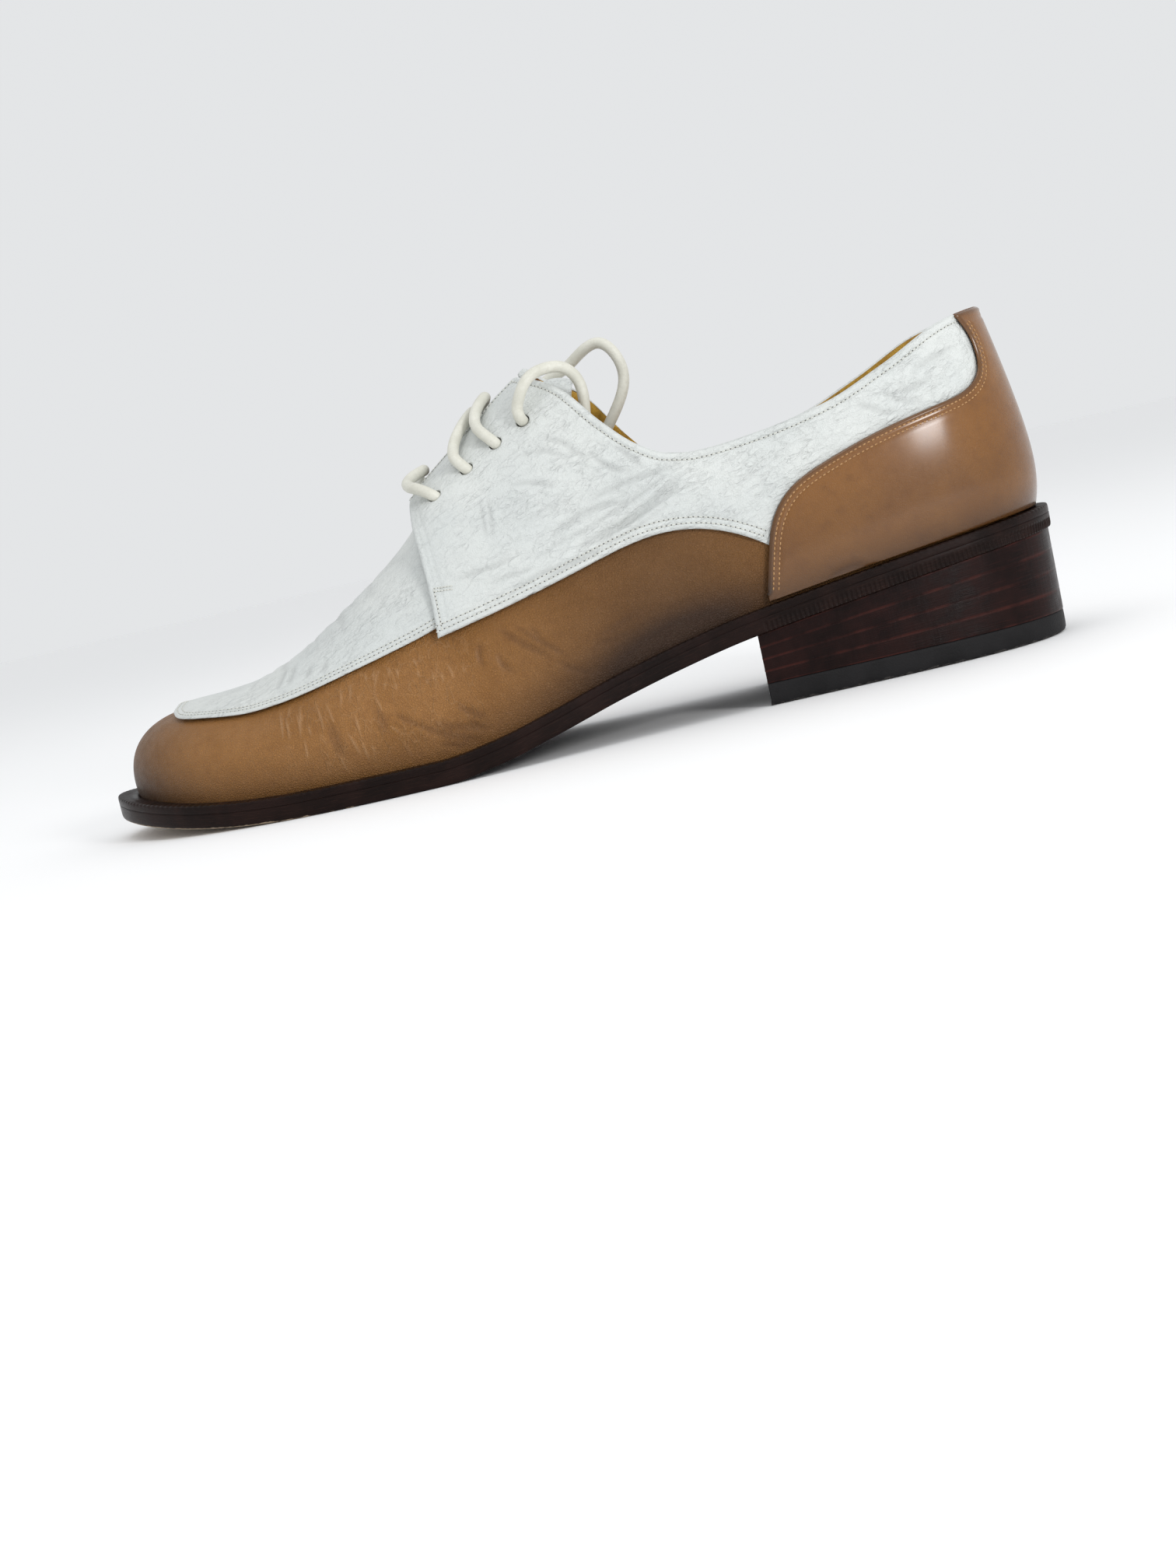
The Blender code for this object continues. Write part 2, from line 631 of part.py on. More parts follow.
thicken(counter, COUNTER_THICKNESS, outward=True)


# Tongue under the facings, with a rounded top
def tongue_shape(across, up):
    wide = np.abs(1.0 - 2.0 * up)
    along = TONGUE_TOP + TONGUE_ROUND * wide ** 2
    along = along + (TONGUE_FRONT - along) * across
    turn = np.where(up < 0.5, turn_at(along, 1), turn_at(along, -1))
    reach = np.abs(around(FEATHER_TRACE, turn)[:, 1] - ridge(along))
    half_width = np.interp(across, (0.0, 1.0), TONGUE_HALF_WIDTH)
    return leather(turn, climb_for_share(turn, wide * half_width / reach), -WALL - TONGUE_GAP)


tongue = add_object("tongue", mapped_grid(6, 10, tongue_shape), WHITE)
thicken(tongue, TONGUE_THICKNESS, outward=False)


def lace(name, points):
    """A round cord along a row of points, closed at both ends."""
    path = bpy.data.curves.new(name, "CURVE")
    path.dimensions = "3D"
    path.bevel_depth = LACE_DIAMETER / 2.0 * MM
    path.bevel_resolution = 1
    path.use_fill_caps = True
    run = path.splines.new("POLY")
    run.points.add(len(points) - 1)
    for stop, place in zip(run.points, world(points)):
        stop.co = (*place, 1.0)
    path.materials.append(LACE)
    shoe.objects.link(bpy.data.objects.new(name, path))


def lace_seat(side, row, climb, arch=0.0):
    """Middle of a lace that lies on a facing, in one row of eyelets."""
    turn = np.full_like(climb, eyelet_places[side][0][row])
    lift = flap_offset(turn, climb) + QUARTER_THICKNESS + GAP + LACE_DIAMETER / 2.0
    return leather(turn, climb, lift + arch)


# Lace bars straight across the three lower rows of eyelets
BAR_POINTS = 7
ARCH = BAR_ARCH * np.sin(np.linspace(0.0, np.pi / 2.0, BAR_POINTS))
for row in range(3):
    halves = []
    for side in (1, -1):
        climb = np.linspace(eyelet_places[side][1][row], 1.0, BAR_POINTS)
        halves.append(lace_seat(side, row, climb, ARCH))
    lace(f"lace_bar_{row + 1}", np.vstack([halves[0], halves[1][-2::-1]]))

# Free ends from the top row
for side, name, stops, count in ((1, "lace_end_outer", OUTER_END, 15), (-1, "lace_end_inner", INNER_END, 20)):
    start = lace_seat(side, 3, eyelet_places[side][1][3] + np.array([0.0, 0.03]))
    lace(name, curve_through(np.vstack([start, stops]), count))
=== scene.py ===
"""Looks of a two-tone lace-up dress shoe for the left foot, dressed piece by piece around its solids.

Sizes are in millimetres. X runs from the back of the heel to the toe, Y points to the outer side of the
foot, and Z is up from the floor. The meshes are written in metres, about the middle of the shoe.
"""
from collections import namedtuple

import bmesh
import bpy
import numpy as np
from mathutils import Matrix, Vector
from mathutils.bvhtree import BVHTree
from mathutils.kdtree import KDTree

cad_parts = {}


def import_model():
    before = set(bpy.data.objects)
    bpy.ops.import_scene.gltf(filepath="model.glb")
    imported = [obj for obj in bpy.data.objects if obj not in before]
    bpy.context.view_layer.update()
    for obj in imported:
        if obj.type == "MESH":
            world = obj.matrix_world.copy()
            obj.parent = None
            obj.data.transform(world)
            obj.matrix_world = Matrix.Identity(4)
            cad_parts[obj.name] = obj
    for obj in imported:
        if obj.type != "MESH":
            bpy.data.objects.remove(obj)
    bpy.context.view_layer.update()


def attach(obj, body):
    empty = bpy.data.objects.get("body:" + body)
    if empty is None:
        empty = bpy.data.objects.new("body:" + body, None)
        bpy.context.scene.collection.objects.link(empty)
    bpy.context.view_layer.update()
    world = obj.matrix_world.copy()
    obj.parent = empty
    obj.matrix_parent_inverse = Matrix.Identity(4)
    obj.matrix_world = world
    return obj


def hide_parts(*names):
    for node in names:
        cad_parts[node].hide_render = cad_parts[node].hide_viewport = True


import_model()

# Outsole.
# A plate of sole leather cut to the outline of the foot, with arch and toe spring, its edge dyed and waxed.
# A wheel has pressed a ribbed band into it where the sole lies over the heel.
MM = 0.001
SHOE_LENGTH = 280.0
SOLE_THICKNESS = 4.2
GAP = 0.3
HEEL_BREAST = 91.0
BREAST_SKEW = 6.0

# Edge of the sole, a row for each place along the foot, with its reach to either side
Outline = namedtuple("Outline", "along outer inner")
SOLE_TIP = (SHOE_LENGTH, -7.5)
SOLE_OUTLINE = [
    Outline(5.0, 15.5, 15.5),
    Outline(18.0, 26.2, 25.6),
    Outline(40.0, 31.6, 30.6),
    Outline(66.0, 32.8, 31.2),
    Outline(95.0, 33.0, 29.4),
    Outline(120.0, 35.6, 28.2),
    Outline(145.0, 40.4, 31.0),
    Outline(170.0, 44.8, 37.4),
    Outline(195.0, 46.6, 43.2),
    Outline(215.0, 45.2, 46.0),
    Outline(235.0, 40.2, 45.0),
    Outline(252.0, 32.4, 40.8),
    Outline(266.0, 21.6, 34.0),
    Outline(275.5, 8.6, 22.6),
]

# Sections of the last: underside of the sole, crest, sideways place of the crest, squareness of the
# section, swell of the side above the welt, and how far the welt stands out
Section = namedtuple("Section", "along bottom crest ridge squareness belly welt")
SECTIONS = [
    Section(0.0, 29.8, 138.0, 0.0, 2.0, 4.0, 7.0),
    Section(20.0, 28.1, 138.0, 0.0, 2.0, 3.4, 6.0),
    Section(48.0, 25.1, 138.0, 0.0, 2.0, 2.6, 5.2),
    Section(75.0, 21.7, 136.0, 0.0, 2.0, 1.8, 4.6),
    Section(95.0, 18.9, 130.0, 0.0, 2.0, 1.1, 3.2),
    Section(112.0, 15.6, 121.0, 0.0, 1.86, 0.8, 2.8),
    Section(131.0, 11.2, 106.5, -0.6, 1.74, 0.8, 3.2),
    Section(150.0, 6.0, 93.0, -1.4, 1.74, 1.0, 3.8),
    Section(167.0, 1.9, 76.8, -2.2, 1.86, 1.3, 4.4),
    Section(182.0, 0.0, 62.4, -3.0, 2.05, 1.6, 4.8),
    Section(200.0, 0.0, 50.0, -4.0, 2.25, 1.8, 5.2),
    Section(222.0, 0.0, 37.8, -5.2, 2.55, 1.8, 5.4),
    Section(235.0, 0.4, 34.2, -5.8, 2.7, 1.6, 5.6),
    Section(250.0, 1.6, 33.2, -6.2, 2.8, 1.4, 6.0),
    Section(265.0, 3.6, 33.2, -6.2, 2.8, 1.2, 6.2),
    Section(280.0, 6.2, 33.2, -6.2, 2.8, 1.0, 6.4),
]


def table(rows, column):
    """Smooth function of the place along the foot through one column, with no overshoot."""
    x = np.array([row[0] for row in rows])
    y = np.array([getattr(row, column) for row in rows])
    step = np.diff(x)
    rise = np.diff(y) / step
    slope = np.zeros(len(x))
    slope[0], slope[-1] = rise[0], rise[-1]
    same_way = rise[:-1] * rise[1:] > 0.0
    before, after = rise[:-1][same_way], rise[1:][same_way]
    slope[1:-1][same_way] = 2.0 * before * after / (before + after)

    def value(at):
        at = np.clip(at, x[0], x[-1])
        i = np.clip(np.searchsorted(x, at, side="right") - 1, 0, len(step) - 1)
        s = (at - x[i]) / step[i]
        blend = s * s * (3.0 - 2.0 * s)
        ease_in = s * (1.0 - s) ** 2 * slope[i]
        ease_out = s * s * (s - 1.0) * slope[i + 1]
        return y[i] + blend * (y[i + 1] - y[i]) + step[i] * (ease_in + ease_out)

    return value


def run_along(points):
    """Length of the way to each point of a line."""
    return np.concatenate([[0.0], np.cumsum(np.linalg.norm(np.diff(points, axis=0), axis=1))])


def unit(vectors):
    """Vectors brought to a length of 1."""
    return vectors / np.linalg.norm(vectors, axis=-1, keepdims=True)


def nearest_index(share, row):
    """Index of the entry at a share of the length of a row."""
    return np.rint(share * (len(row) - 1)).astype(int)


CURVE_STEPS = 9000
LOOP_POINTS = 6000
SHARE_STEPS = 6001


def curve_through(points, count, closed=False):
    """Evenly spaced points on a smooth cubic curve through the given ones."""
    points = np.array(points, float)
    if closed:
        points = np.vstack([points[-3:], points, points[:4]])
    at = run_along(points)
    step = np.diff(at)[:, None]
    rise = np.diff(points, axis=0) / step
    size = len(points)
    system = np.eye(size)
    wanted = np.vstack([rise[:1], np.zeros((size - 2, points.shape[1])), rise[-1:]])
    for i in range(1, size - 1):
        left, right = step[i - 1, 0], step[i, 0]
        system[i, i - 1:i + 2] = right, 2.0 * (left + right), left
        wanted[i] = 3.0 * (right * rise[i - 1] + left * rise[i])
    slope = np.linalg.solve(system, wanted)
    start, stop = (at[3], at[-4]) if closed else (at[0], at[-1])

    def place(where):
        i = np.clip(np.searchsorted(at, where, side="right") - 1, 0, size - 2)
        s = ((where - at[i]) / step[i, 0])[:, None]
        cubic = slope[i] * s * (1.0 - s) ** 2 + slope[i + 1] * s * s * (s - 1.0)
        return points[i] + (points[i + 1] - points[i]) * s * s * (3.0 - 2.0 * s) + cubic * step[i]

    fine = np.linspace(start, stop, CURVE_STEPS)
    length = run_along(place(fine))
    return place(np.interp(np.linspace(0.0, length[-1], count), length, fine))


def ease(value, start, stop):
    """Smooth step from 0 at start to 1 at stop."""
    s = np.clip((value - start) / (stop - start), 0.0, 1.0)
    return s * s * (3.0 - 2.0 * s)


def sole_loop():
    outer = [(row.along, row.outer) for row in SOLE_OUTLINE]
    inner = [(row.along, -row.inner) for row in reversed(SOLE_OUTLINE)]
    loop = curve_through([(0.0, 0.0)] + outer + [SOLE_TIP] + inner, LOOP_POINTS, closed=True)
    middle = (loop[:, 1].max() + loop[:, 1].min()) / 2.0
    return loop - (0.0, middle)


def inset_loop(loop, distance):
    """The loop drawn in by a distance for each point, for a loop that runs clockwise from above."""
    ahead = np.roll(loop[:-1], -1, axis=0) - np.roll(loop[:-1], 1, axis=0)
    inward = unit(np.stack([ahead[:, 1], -ahead[:, 0]], axis=1))
    moved = loop[:-1] + inward * np.broadcast_to(distance, (len(loop) - 1,))[:, None]
    return np.vstack([moved, moved[:1]])


HEEL_JOIN, TOE_JOIN = 24.0, 257.0
HEEL_STATIONS, SIDE_STATIONS, TOE_STATIONS = 400, 1600, 400


def trace(loop):
    """Both halves of a loop from heel to toe, by length round the ends and by place along the sides."""
    ring = loop[:-1]
    ring = np.roll(ring, -int(ring[:, 0].argmin()), axis=0)
    tip = int(ring[:, 0].argmax())
    halves = (ring[:tip + 1], np.vstack([ring[:1], ring[:tip - 1:-1]]))
    traced = []
    for half in halves:
        length = run_along(half)
        stations = np.linspace(HEEL_JOIN, TOE_JOIN, SIDE_STATIONS + 1)
        side_lengths = np.interp(stations, half[:, 0], length)
        heel_lengths = np.linspace(0.0, side_lengths[0], HEEL_STATIONS + 1)
        toe_lengths = np.linspace(side_lengths[-1], length[-1], TOE_STATIONS + 1)
        at = np.concatenate([heel_lengths, side_lengths[1:], toe_lengths[1:]])
        traced.append(np.stack([np.interp(at, length, half[:, 0]), np.interp(at, length, half[:, 1])], 1))
    return traced


def around(traced, turn):
    """Point of a traced loop. A turn of 0 is the heel, 1 the toe, and 2 the heel again."""
    turn = np.mod(turn, 2.0)
    share = np.where(turn <= 1.0, turn, 2.0 - turn)
    grid = np.linspace(0.0, 1.0, len(traced[0]))
    points = [np.stack([np.interp(share, grid, half[:, i]) for i in (0, 1)], -1) for half in traced]
    return np.where((turn <= 1.0)[..., None], points[0], points[1])


def spaced_shares(traced, spacing, last=1.0):
    """Shares of the way to the toe whose points lie a spacing apart, which may be a function of the place."""
    grid = np.linspace(0.0, last, SHARE_STEPS)
    points = around(traced, grid)
    if callable(spacing):
        spacing = spacing((points[1:, 0] + points[:-1, 0]) / 2.0)
    step = np.linalg.norm(np.diff(points, axis=0), axis=1)
    weight = np.concatenate([[0.0], np.cumsum(step / spacing)])
    return np.interp(np.linspace(0.0, weight[-1], int(weight[-1]) + 2), weight, grid)


def all_round(outer, inner):
    """Turns of a whole loop, from shares of the outer side and of the inner side."""
    return np.concatenate([outer, 2.0 - inner[-2::-1]])


def world(points):
    """Millimetres from the back of the heel to metres from the middle of the shoe."""
    return (np.asarray(points) - (SHOE_LENGTH / 2.0, 0.0, 0.0)) * MM


def mapped_grid(bm, across, up, shape, marks=()):
    """Adds a grid whose points go where shape puts their two shares, each from 0 to 1.

    Shape gives the places, and may give a UV pair and the named marks of each point.
    """
    uv_layer = bm.loops.layers.uv.verify()
    layers = {name: bm.verts.layers.float.new(name) for name in marks}
    first_face = len(bm.faces)
    verts = bmesh.ops.create_grid(bm, x_segments=across, y_segments=up, size=1.0, calc_uvs=True)["verts"]
    shares = np.array([vert.co[:2] for vert in verts]) / 2.0 + 0.5
    made = shape(shares[:, 0], shares[:, 1])
    if not isinstance(made, dict):
        made = {"place": made}
    for vert, point in zip(verts, world(made.pop("place"))):
        vert.co = point
    if "uv" in made:
        pairs = dict(zip(verts, made.pop("uv").tolist()))
        bm.faces.ensure_lookup_table()
        for face in bm.faces[first_face:]:
            for loop in face.loops:
                loop[uv_layer].uv = pairs[loop.vert]
    for name, layer in layers.items():
        for vert, value in zip(verts, made[name].tolist()):
            vert[layer] = value
    return bm


WELD, SLIVER = 0.008, 0.002


def mesh_of(name, bm):
    mesh = bpy.data.meshes.new(name)
    bm.to_mesh(mesh)
    bm.free()
    return mesh


def put(name, data):
    """A new object in the scene."""
    made = bpy.data.objects.new(name, data)
    bpy.context.scene.collection.objects.link(made)
    return made


def add_piece(name, bm, material, slot, *nodes, sharp=None, sheet=False):
    """Welds a mesh and puts it on the shoe for its solids. All but an open sheet is turned outwards."""
    bmesh.ops.remove_doubles(bm, verts=bm.verts, dist=WELD * MM)
    bmesh.ops.dissolve_degenerate(bm, edges=bm.edges, dist=SLIVER * MM)
    if not sheet:
        bmesh.ops.recalc_face_normals(bm, faces=bm.faces)
    return show(mesh_of(name, bm), material, slot, *nodes, sharp=sharp)


def show(mesh, material, slot, *nodes, sharp=None):
    mesh.shade_smooth()
    if sharp:
        mesh.set_sharp_from_angle(angle=np.radians(sharp))
    mesh.materials.append(material)
    piece = put(mesh.name, mesh)
    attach(piece, "root")
    if nodes:
        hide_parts(*nodes)
    return piece


def colour(red, green, blue):
    """A colour picked in the usual 0 to 255 scale, as the shaders need it."""
    part = np.array([red, green, blue]) / 255.0
    part = np.where(part <= 0.04045, part / 12.92, ((part + 0.055) / 1.055) ** 2.4)
    return (*part.tolist(), 1.0)


class Nodes:
    """The shader nodes of one tree, placed by what they do."""

    def __init__(self, tree):
        self.tree = tree

    def place(self, kind, inputs, **settings):
        """Outputs of a node with its settings, and inputs that are values or other nodes' outputs."""
        made = self.tree.nodes.new(kind)
        for name, value in settings.items():
            setattr(made, name, value)
        for name, value in inputs.items():
            if isinstance(value, bpy.types.NodeSocket):
                self.tree.links.new(value, made.inputs[name])
            else:
                made.inputs[name].default_value = value
        return made.outputs

    def use(self, group, inputs):
        return self.place("ShaderNodeGroup", inputs, node_tree=group.tree)

    def noise(self, vector, scale, detail=3.0, roughness=0.5, output="Fac"):
        return self.place("ShaderNodeTexNoise", {
            "Vector": vector, "Scale": scale, "Detail": detail, "Roughness": roughness})[output]

    def cells(self, vector, scale):
        """Distance to the edges of random cells."""
        return self.place("ShaderNodeTexVoronoi", {"Vector": vector, "Scale": scale},
                          feature="DISTANCE_TO_EDGE")["Distance"]

    def stretched(self, vector, scale):
        return self.place("ShaderNodeMapping", {"Vector": vector, "Scale": scale})["Vector"]

    def turned(self, vector, turn, stretch):
        """Coordinates turned about the side-to-side axis and then stretched along the turned axes."""
        inputs = {"Vector": vector, "Rotation": (0.0, turn, 0.0), "Scale": stretch}
        return self.place("ShaderNodeMapping", inputs, vector_type="TEXTURE")["Vector"]

    def warped(self, vector, scale, detail, reach):
        """Coordinates shoved about by a noise."""
        shove = self.noise(vector, scale, detail, output="Color")
        for operation, inputs in (("SUBTRACT", {1: (0.5, 0.5, 0.5)}), ("SCALE", {"Scale": reach}),
                                  ("ADD", {1: vector})):
            shove = self.place("ShaderNodeVectorMath", {0: shove, **inputs}, operation=operation)["Vector"]
        return shove

    def axis(self, vector, name):
        return self.place("ShaderNodeSeparateXYZ", {"Vector": vector})[name]

    def mark(self, name):
        """A named value that the mesh carries at its points."""
        return self.place("ShaderNodeAttribute", {}, attribute_name=name)["Fac"]

    def span(self, value, low, high, to_low=0.0, to_high=1.0):
        """Value from low to high brought to another span, held at its ends and eased between them."""
        return self.place("ShaderNodeMapRange", {
            "Value": value, "From Min": low, "From Max": high, "To Min": to_low, "To Max": to_high},
            interpolation_type="SMOOTHSTEP")["Result"]

    def held(self, value, share):
        """Value held between 0 and 1, times a share."""
        return self.span(value, 0.0, 1.0, 0.0, share)

    def maths(self, operation, first, second=0.0):
        return self.place("ShaderNodeMath", {0: first, 1: second}, operation=operation)[0]

    def times(self, first, second):
        return self.maths("MULTIPLY", first, second)

    def plus(self, first, second):
        return self.maths("ADD", first, second)

    def less(self, first, second):
        return self.maths("SUBTRACT", first, second)

    def mix(self, factor, first, second):
        return self.place("ShaderNodeMix", {0: factor, 6: first, 7: second}, data_type="RGBA")[2]


class Paint(Nodes):
    """A material whose colour is laid on in layers, with its plain values on the shader's own sockets."""

    def __init__(self, name, **sockets):
        self.material = bpy.data.materials.new(name)
        self.material.use_nodes = True
        super().__init__(self.material.node_tree)
        self.shader = self.tree.nodes["Principled BSDF"].inputs
        for socket, value in sockets.items():
            self.shader[socket.replace("_", " ")].default_value = value
        coords = self.place("ShaderNodeTexCoord", {})
        self.spot, self.uv = coords["Object"], coords["UV"]

    def base(self, factor, first, second):
        self.dye = self.mix(factor, colour(*first), colour(*second))

    def layer(self, factor, shade):
        self.dye = self.mix(factor, self.dye, colour(*shade))

    def finish(self, height=None, distance=0.0, roughness=None):
        """Joins the colour to the shader, with the relief of a height and a roughness where given."""
        self.tree.links.new(self.dye, self.shader["Base Color"])
        if height is not None:
            relief = self.place("ShaderNodeBump", {"Height": height, "Distance": distance, "Strength": 1.0})
            self.tree.links.new(relief["Normal"], self.shader["Normal"])
        if roughness is not None:
            self.tree.links.new(roughness, self.shader["Roughness"])
        return self.material


class Group(Nodes):
    """A node group with its sockets. An input with no number is a vector, and all outputs are numbers."""

    def __init__(self, name, inputs, outputs):
        super().__init__(bpy.data.node_groups.new(name, "ShaderNodeTree"))
        for socket, value in inputs.items():
            kind = "NodeSocketVector" if value is None else "NodeSocketFloat"
            made = self.tree.interface.new_socket(socket, in_out="INPUT", socket_type=kind)
            if value is not None:
                made.default_value = value
        for socket in outputs:
            self.tree.interface.new_socket(socket, in_out="OUTPUT", socket_type="NodeSocketFloat")
        self.entry = self.tree.nodes.new("NodeGroupInput").outputs
        self.leave = self.tree.nodes.new("NodeGroupOutput").inputs

    def give(self, socket, value):
        self.tree.links.new(value, self.leave[socket])


# Broken pale rubbing where an edge meets the ground or a hand, from a mask of where it may be
edge_rub = Group("edge_rub", {"Vector": None, "Where": 0.0, "Scale": 300.0, "Amount": 0.5}, ["Mask"])
patches = edge_rub.noise(edge_rub.entry["Vector"], edge_rub.entry["Scale"], 4.0, 0.65)
needed = edge_rub.times(edge_rub.entry["Where"], edge_rub.entry["Amount"])
edge_rub.give("Mask", edge_rub.span(edge_rub.less(edge_rub.plus(patches, needed), 1.0), 0.0, 0.12))

bottom = table(SECTIONS, "bottom")
welt_edge = table(SECTIONS, "welt")
SOLE_LOOP = sole_loop()
SOLE_TRACE = trace(SOLE_LOOP)


def edge_point(traced, turn, inset):
    """Point a little inside a traced loop."""
    small = 0.0006
    ahead = around(traced, turn + small) - around(traced, turn - small)
    inward = unit(np.stack([ahead[..., 1], -ahead[..., 0]], -1))
    return around(traced, turn) + inward * np.asarray(inset)[..., None]


Edge = namedtuple("Edge", "inset rise")


def edged_plate(traced, shares, profile, low, high, relief=None, inner_shares=None):
    """A closed plate inside a traced loop, with the profile of its edge given from the bottom up.

    Shares are the columns on the outer side. A plate that is cut off has its own on the inner side.
    Insets are in millimetres and rises in shares of the thickness.
    """
    cut = inner_shares is not None
    inner_shares = inner_shares if cut else shares
    insets = np.array([row.inset for row in profile])
    rises = np.array([row.rise for row in profile])
    turns = np.concatenate([-inner_shares[:0:-1], shares]) if cut else all_round(shares, shares)
    lengths = run_along(around(traced, turns))
    last_row = len(profile) - 1

    def edge(turn, row, length):
        inset = insets[row]
        if relief:
            inset = inset - relief(around(traced, turn)[..., 0], rises[row], length / lengths[-1])
        flat = edge_point(traced, turn, inset)
        thickness = high(flat[..., 0]) - low(flat[..., 0])
        return np.concatenate([flat, (low(flat[..., 0]) + thickness * rises[row])[..., None]], -1)

    def wall(across, up):
        column = nearest_index(across, turns)
        row = nearest_index(up, profile)
        return {"place": edge(turns[column], row, lengths[column]),
                "uv": np.stack([lengths[column], rises[row]], -1)}

    def face(row):
        def shape(across, up):
            column = nearest_index(across, shares)
            rows = np.full(column.shape, row)
            outer = edge(shares[column], rows, lengths[column + (len(shares) - 1 if cut else 0)])
            back = len(shares) - 1 - column if cut else len(turns) - 1 - column
            inner = edge(-inner_shares[column], rows, lengths[back])
            place = outer + (inner - outer) * up[:, None]
            return {"place": place, "uv": np.stack([place[:, 0], np.full(len(place), rises[row])], -1)}
        return shape

    def end(across, up):
        row = nearest_index(up, profile)
        outer = edge(np.full(row.shape, shares[-1]), row, np.full(row.shape, lengths[-1]))
        inner = edge(np.full(row.shape, -inner_shares[-1]), row, np.zeros(row.shape))
        place = outer + (inner - outer) * across[:, None]
        return {"place": place, "uv": np.stack([place[:, 1] + END_UV_SHIFT, rises[row]], -1)}

    bm = bmesh.new()
    mapped_grid(bm, len(turns) - 1, last_row, wall)
    mapped_grid(bm, len(shares) - 1, PLATE_ROWS, face(0))
    mapped_grid(bm, len(shares) - 1, PLATE_ROWS, face(last_row))
    if cut:
        mapped_grid(bm, PLATE_ROWS, last_row, end)
    return bm


# Shift of the streaks on a cut end against those of the long edge
END_UV_SHIFT = 500.0
PLATE_ROWS = 10
SHARP_EDGE = 50.0
SOLE_EDGE = [
    Edge(1.6, 0.0), Edge(0.7, 0.02), Edge(0.25, 0.07), Edge(0.08, 0.16), Edge(0.0, 0.3), Edge(0.0, 0.48),
    Edge(0.0, 0.62), Edge(0.0, 0.7), Edge(0.0, 0.86), Edge(0.0, 0.97), Edge(0.08, 1.0),
]
WHEEL_MARKS = 480
WHEEL_DEPTH = 0.17
WHEEL_LOW, WHEEL_HIGH = 0.15, 0.66
WHEEL_STOP = 2.0
HEEL_SPACING, SOLE_SPACING = 0.25, 1.0


def heel_wheeling(along, rise, way_round):
    """Fine upright ribs pressed into the edge of the sole over the heel."""
    here = (along < HEEL_BREAST - WHEEL_STOP) * (rise > WHEEL_LOW) * (rise < WHEEL_HIGH)
    return here * WHEEL_DEPTH * (np.cos(way_round * 2.0 * np.pi * WHEEL_MARKS) - 1.0)


paint = Paint("dark_sole_leather", Specular_IOR_Level=0.09)
streaks = paint.noise(paint.stretched(paint.uv, (0.05, 5.0, 1.0)), 4.0, 5.0, 0.6)
cloud = paint.noise(paint.spot, 90.0)
speck = paint.noise(paint.spot, 1800.0, 2.0)
low_edge = paint.span(paint.axis(paint.uv, "Y"), 0.02, 0.24, 1.0, 0.0)
toe_end = paint.span(paint.axis(paint.spot, "X"), 0.015, 0.11, 0.25, 1.0)
rubbed = paint.use(edge_rub, {"Vector": paint.spot, "Scale": 420.0, "Amount": 0.78,
                              "Where": paint.times(low_edge, toe_end)})["Mask"]
paint.base(paint.span(cloud, 0.3, 0.7), (19, 11, 9), (32, 19, 16))
paint.layer(paint.span(streaks, 0.5, 0.75, 0.0, 0.4), (66, 42, 34))
paint.layer(paint.times(rubbed, 0.75), (176, 158, 136))
sole_dye = paint.finish(paint.plus(streaks, paint.times(speck, 0.35)), 0.0001,
                        paint.span(paint.plus(cloud, rubbed), 0.3, 1.4, 0.3, 0.75))

sole_shares = spaced_shares(SOLE_TRACE, lambda at: np.where(at < HEEL_BREAST, HEEL_SPACING, SOLE_SPACING))
sole_mesh = edged_plate(SOLE_TRACE, sole_shares, SOLE_EDGE, bottom, lambda at: bottom(at) + SOLE_THICKNESS,
                        heel_wheeling)
add_piece("outsole_dressed", sole_mesh, sole_dye, "sole_leather", "outsole", sharp=SHARP_EDGE)

# Stacked heel.
# Four lifts of sole leather, glued and nailed, cut flush and waxed dark, so that their joints show as thin
# reddish lines that fan out to the sloped seat. A black rubber lift is glued under them.
TOP_LIFT_THICKNESS = 6.3
HEEL_INSET = 1.0
LEATHER_LIFTS = 4
LIFT_SPACING = 0.8
LIFT_EDGE = [Edge(0.6, 0.0), Edge(0.05, 0.0), Edge(0.015, 0.02), Edge(0.0, 0.1), Edge(0.0, 0.5),
             Edge(0.0, 0.9), Edge(0.015, 0.98), Edge(0.05, 1.0), Edge(0.6, 1.0)]
RUBBER_EDGE = [Edge(2.2, 0.0), Edge(1.1, 0.015), Edge(0.5, 0.07), Edge(0.2, 0.17), Edge(0.1, 0.35),
               Edge(0.06, 0.6), Edge(0.1, 0.85), Edge(0.16, 0.96), Edge(0.5, 1.0)]
HEEL_TRACE = trace(inset_loop(SOLE_LOOP, HEEL_INSET))
half_shares = np.linspace(0.0, 1.0, len(HEEL_TRACE[0]))
outer_last = np.interp(HEEL_BREAST, HEEL_TRACE[0][:, 0], half_shares)
inner_last = np.interp(HEEL_BREAST - BREAST_SKEW, HEEL_TRACE[1][:, 0], half_shares)
heel_shares = spaced_shares(HEEL_TRACE, LIFT_SPACING, outer_last)

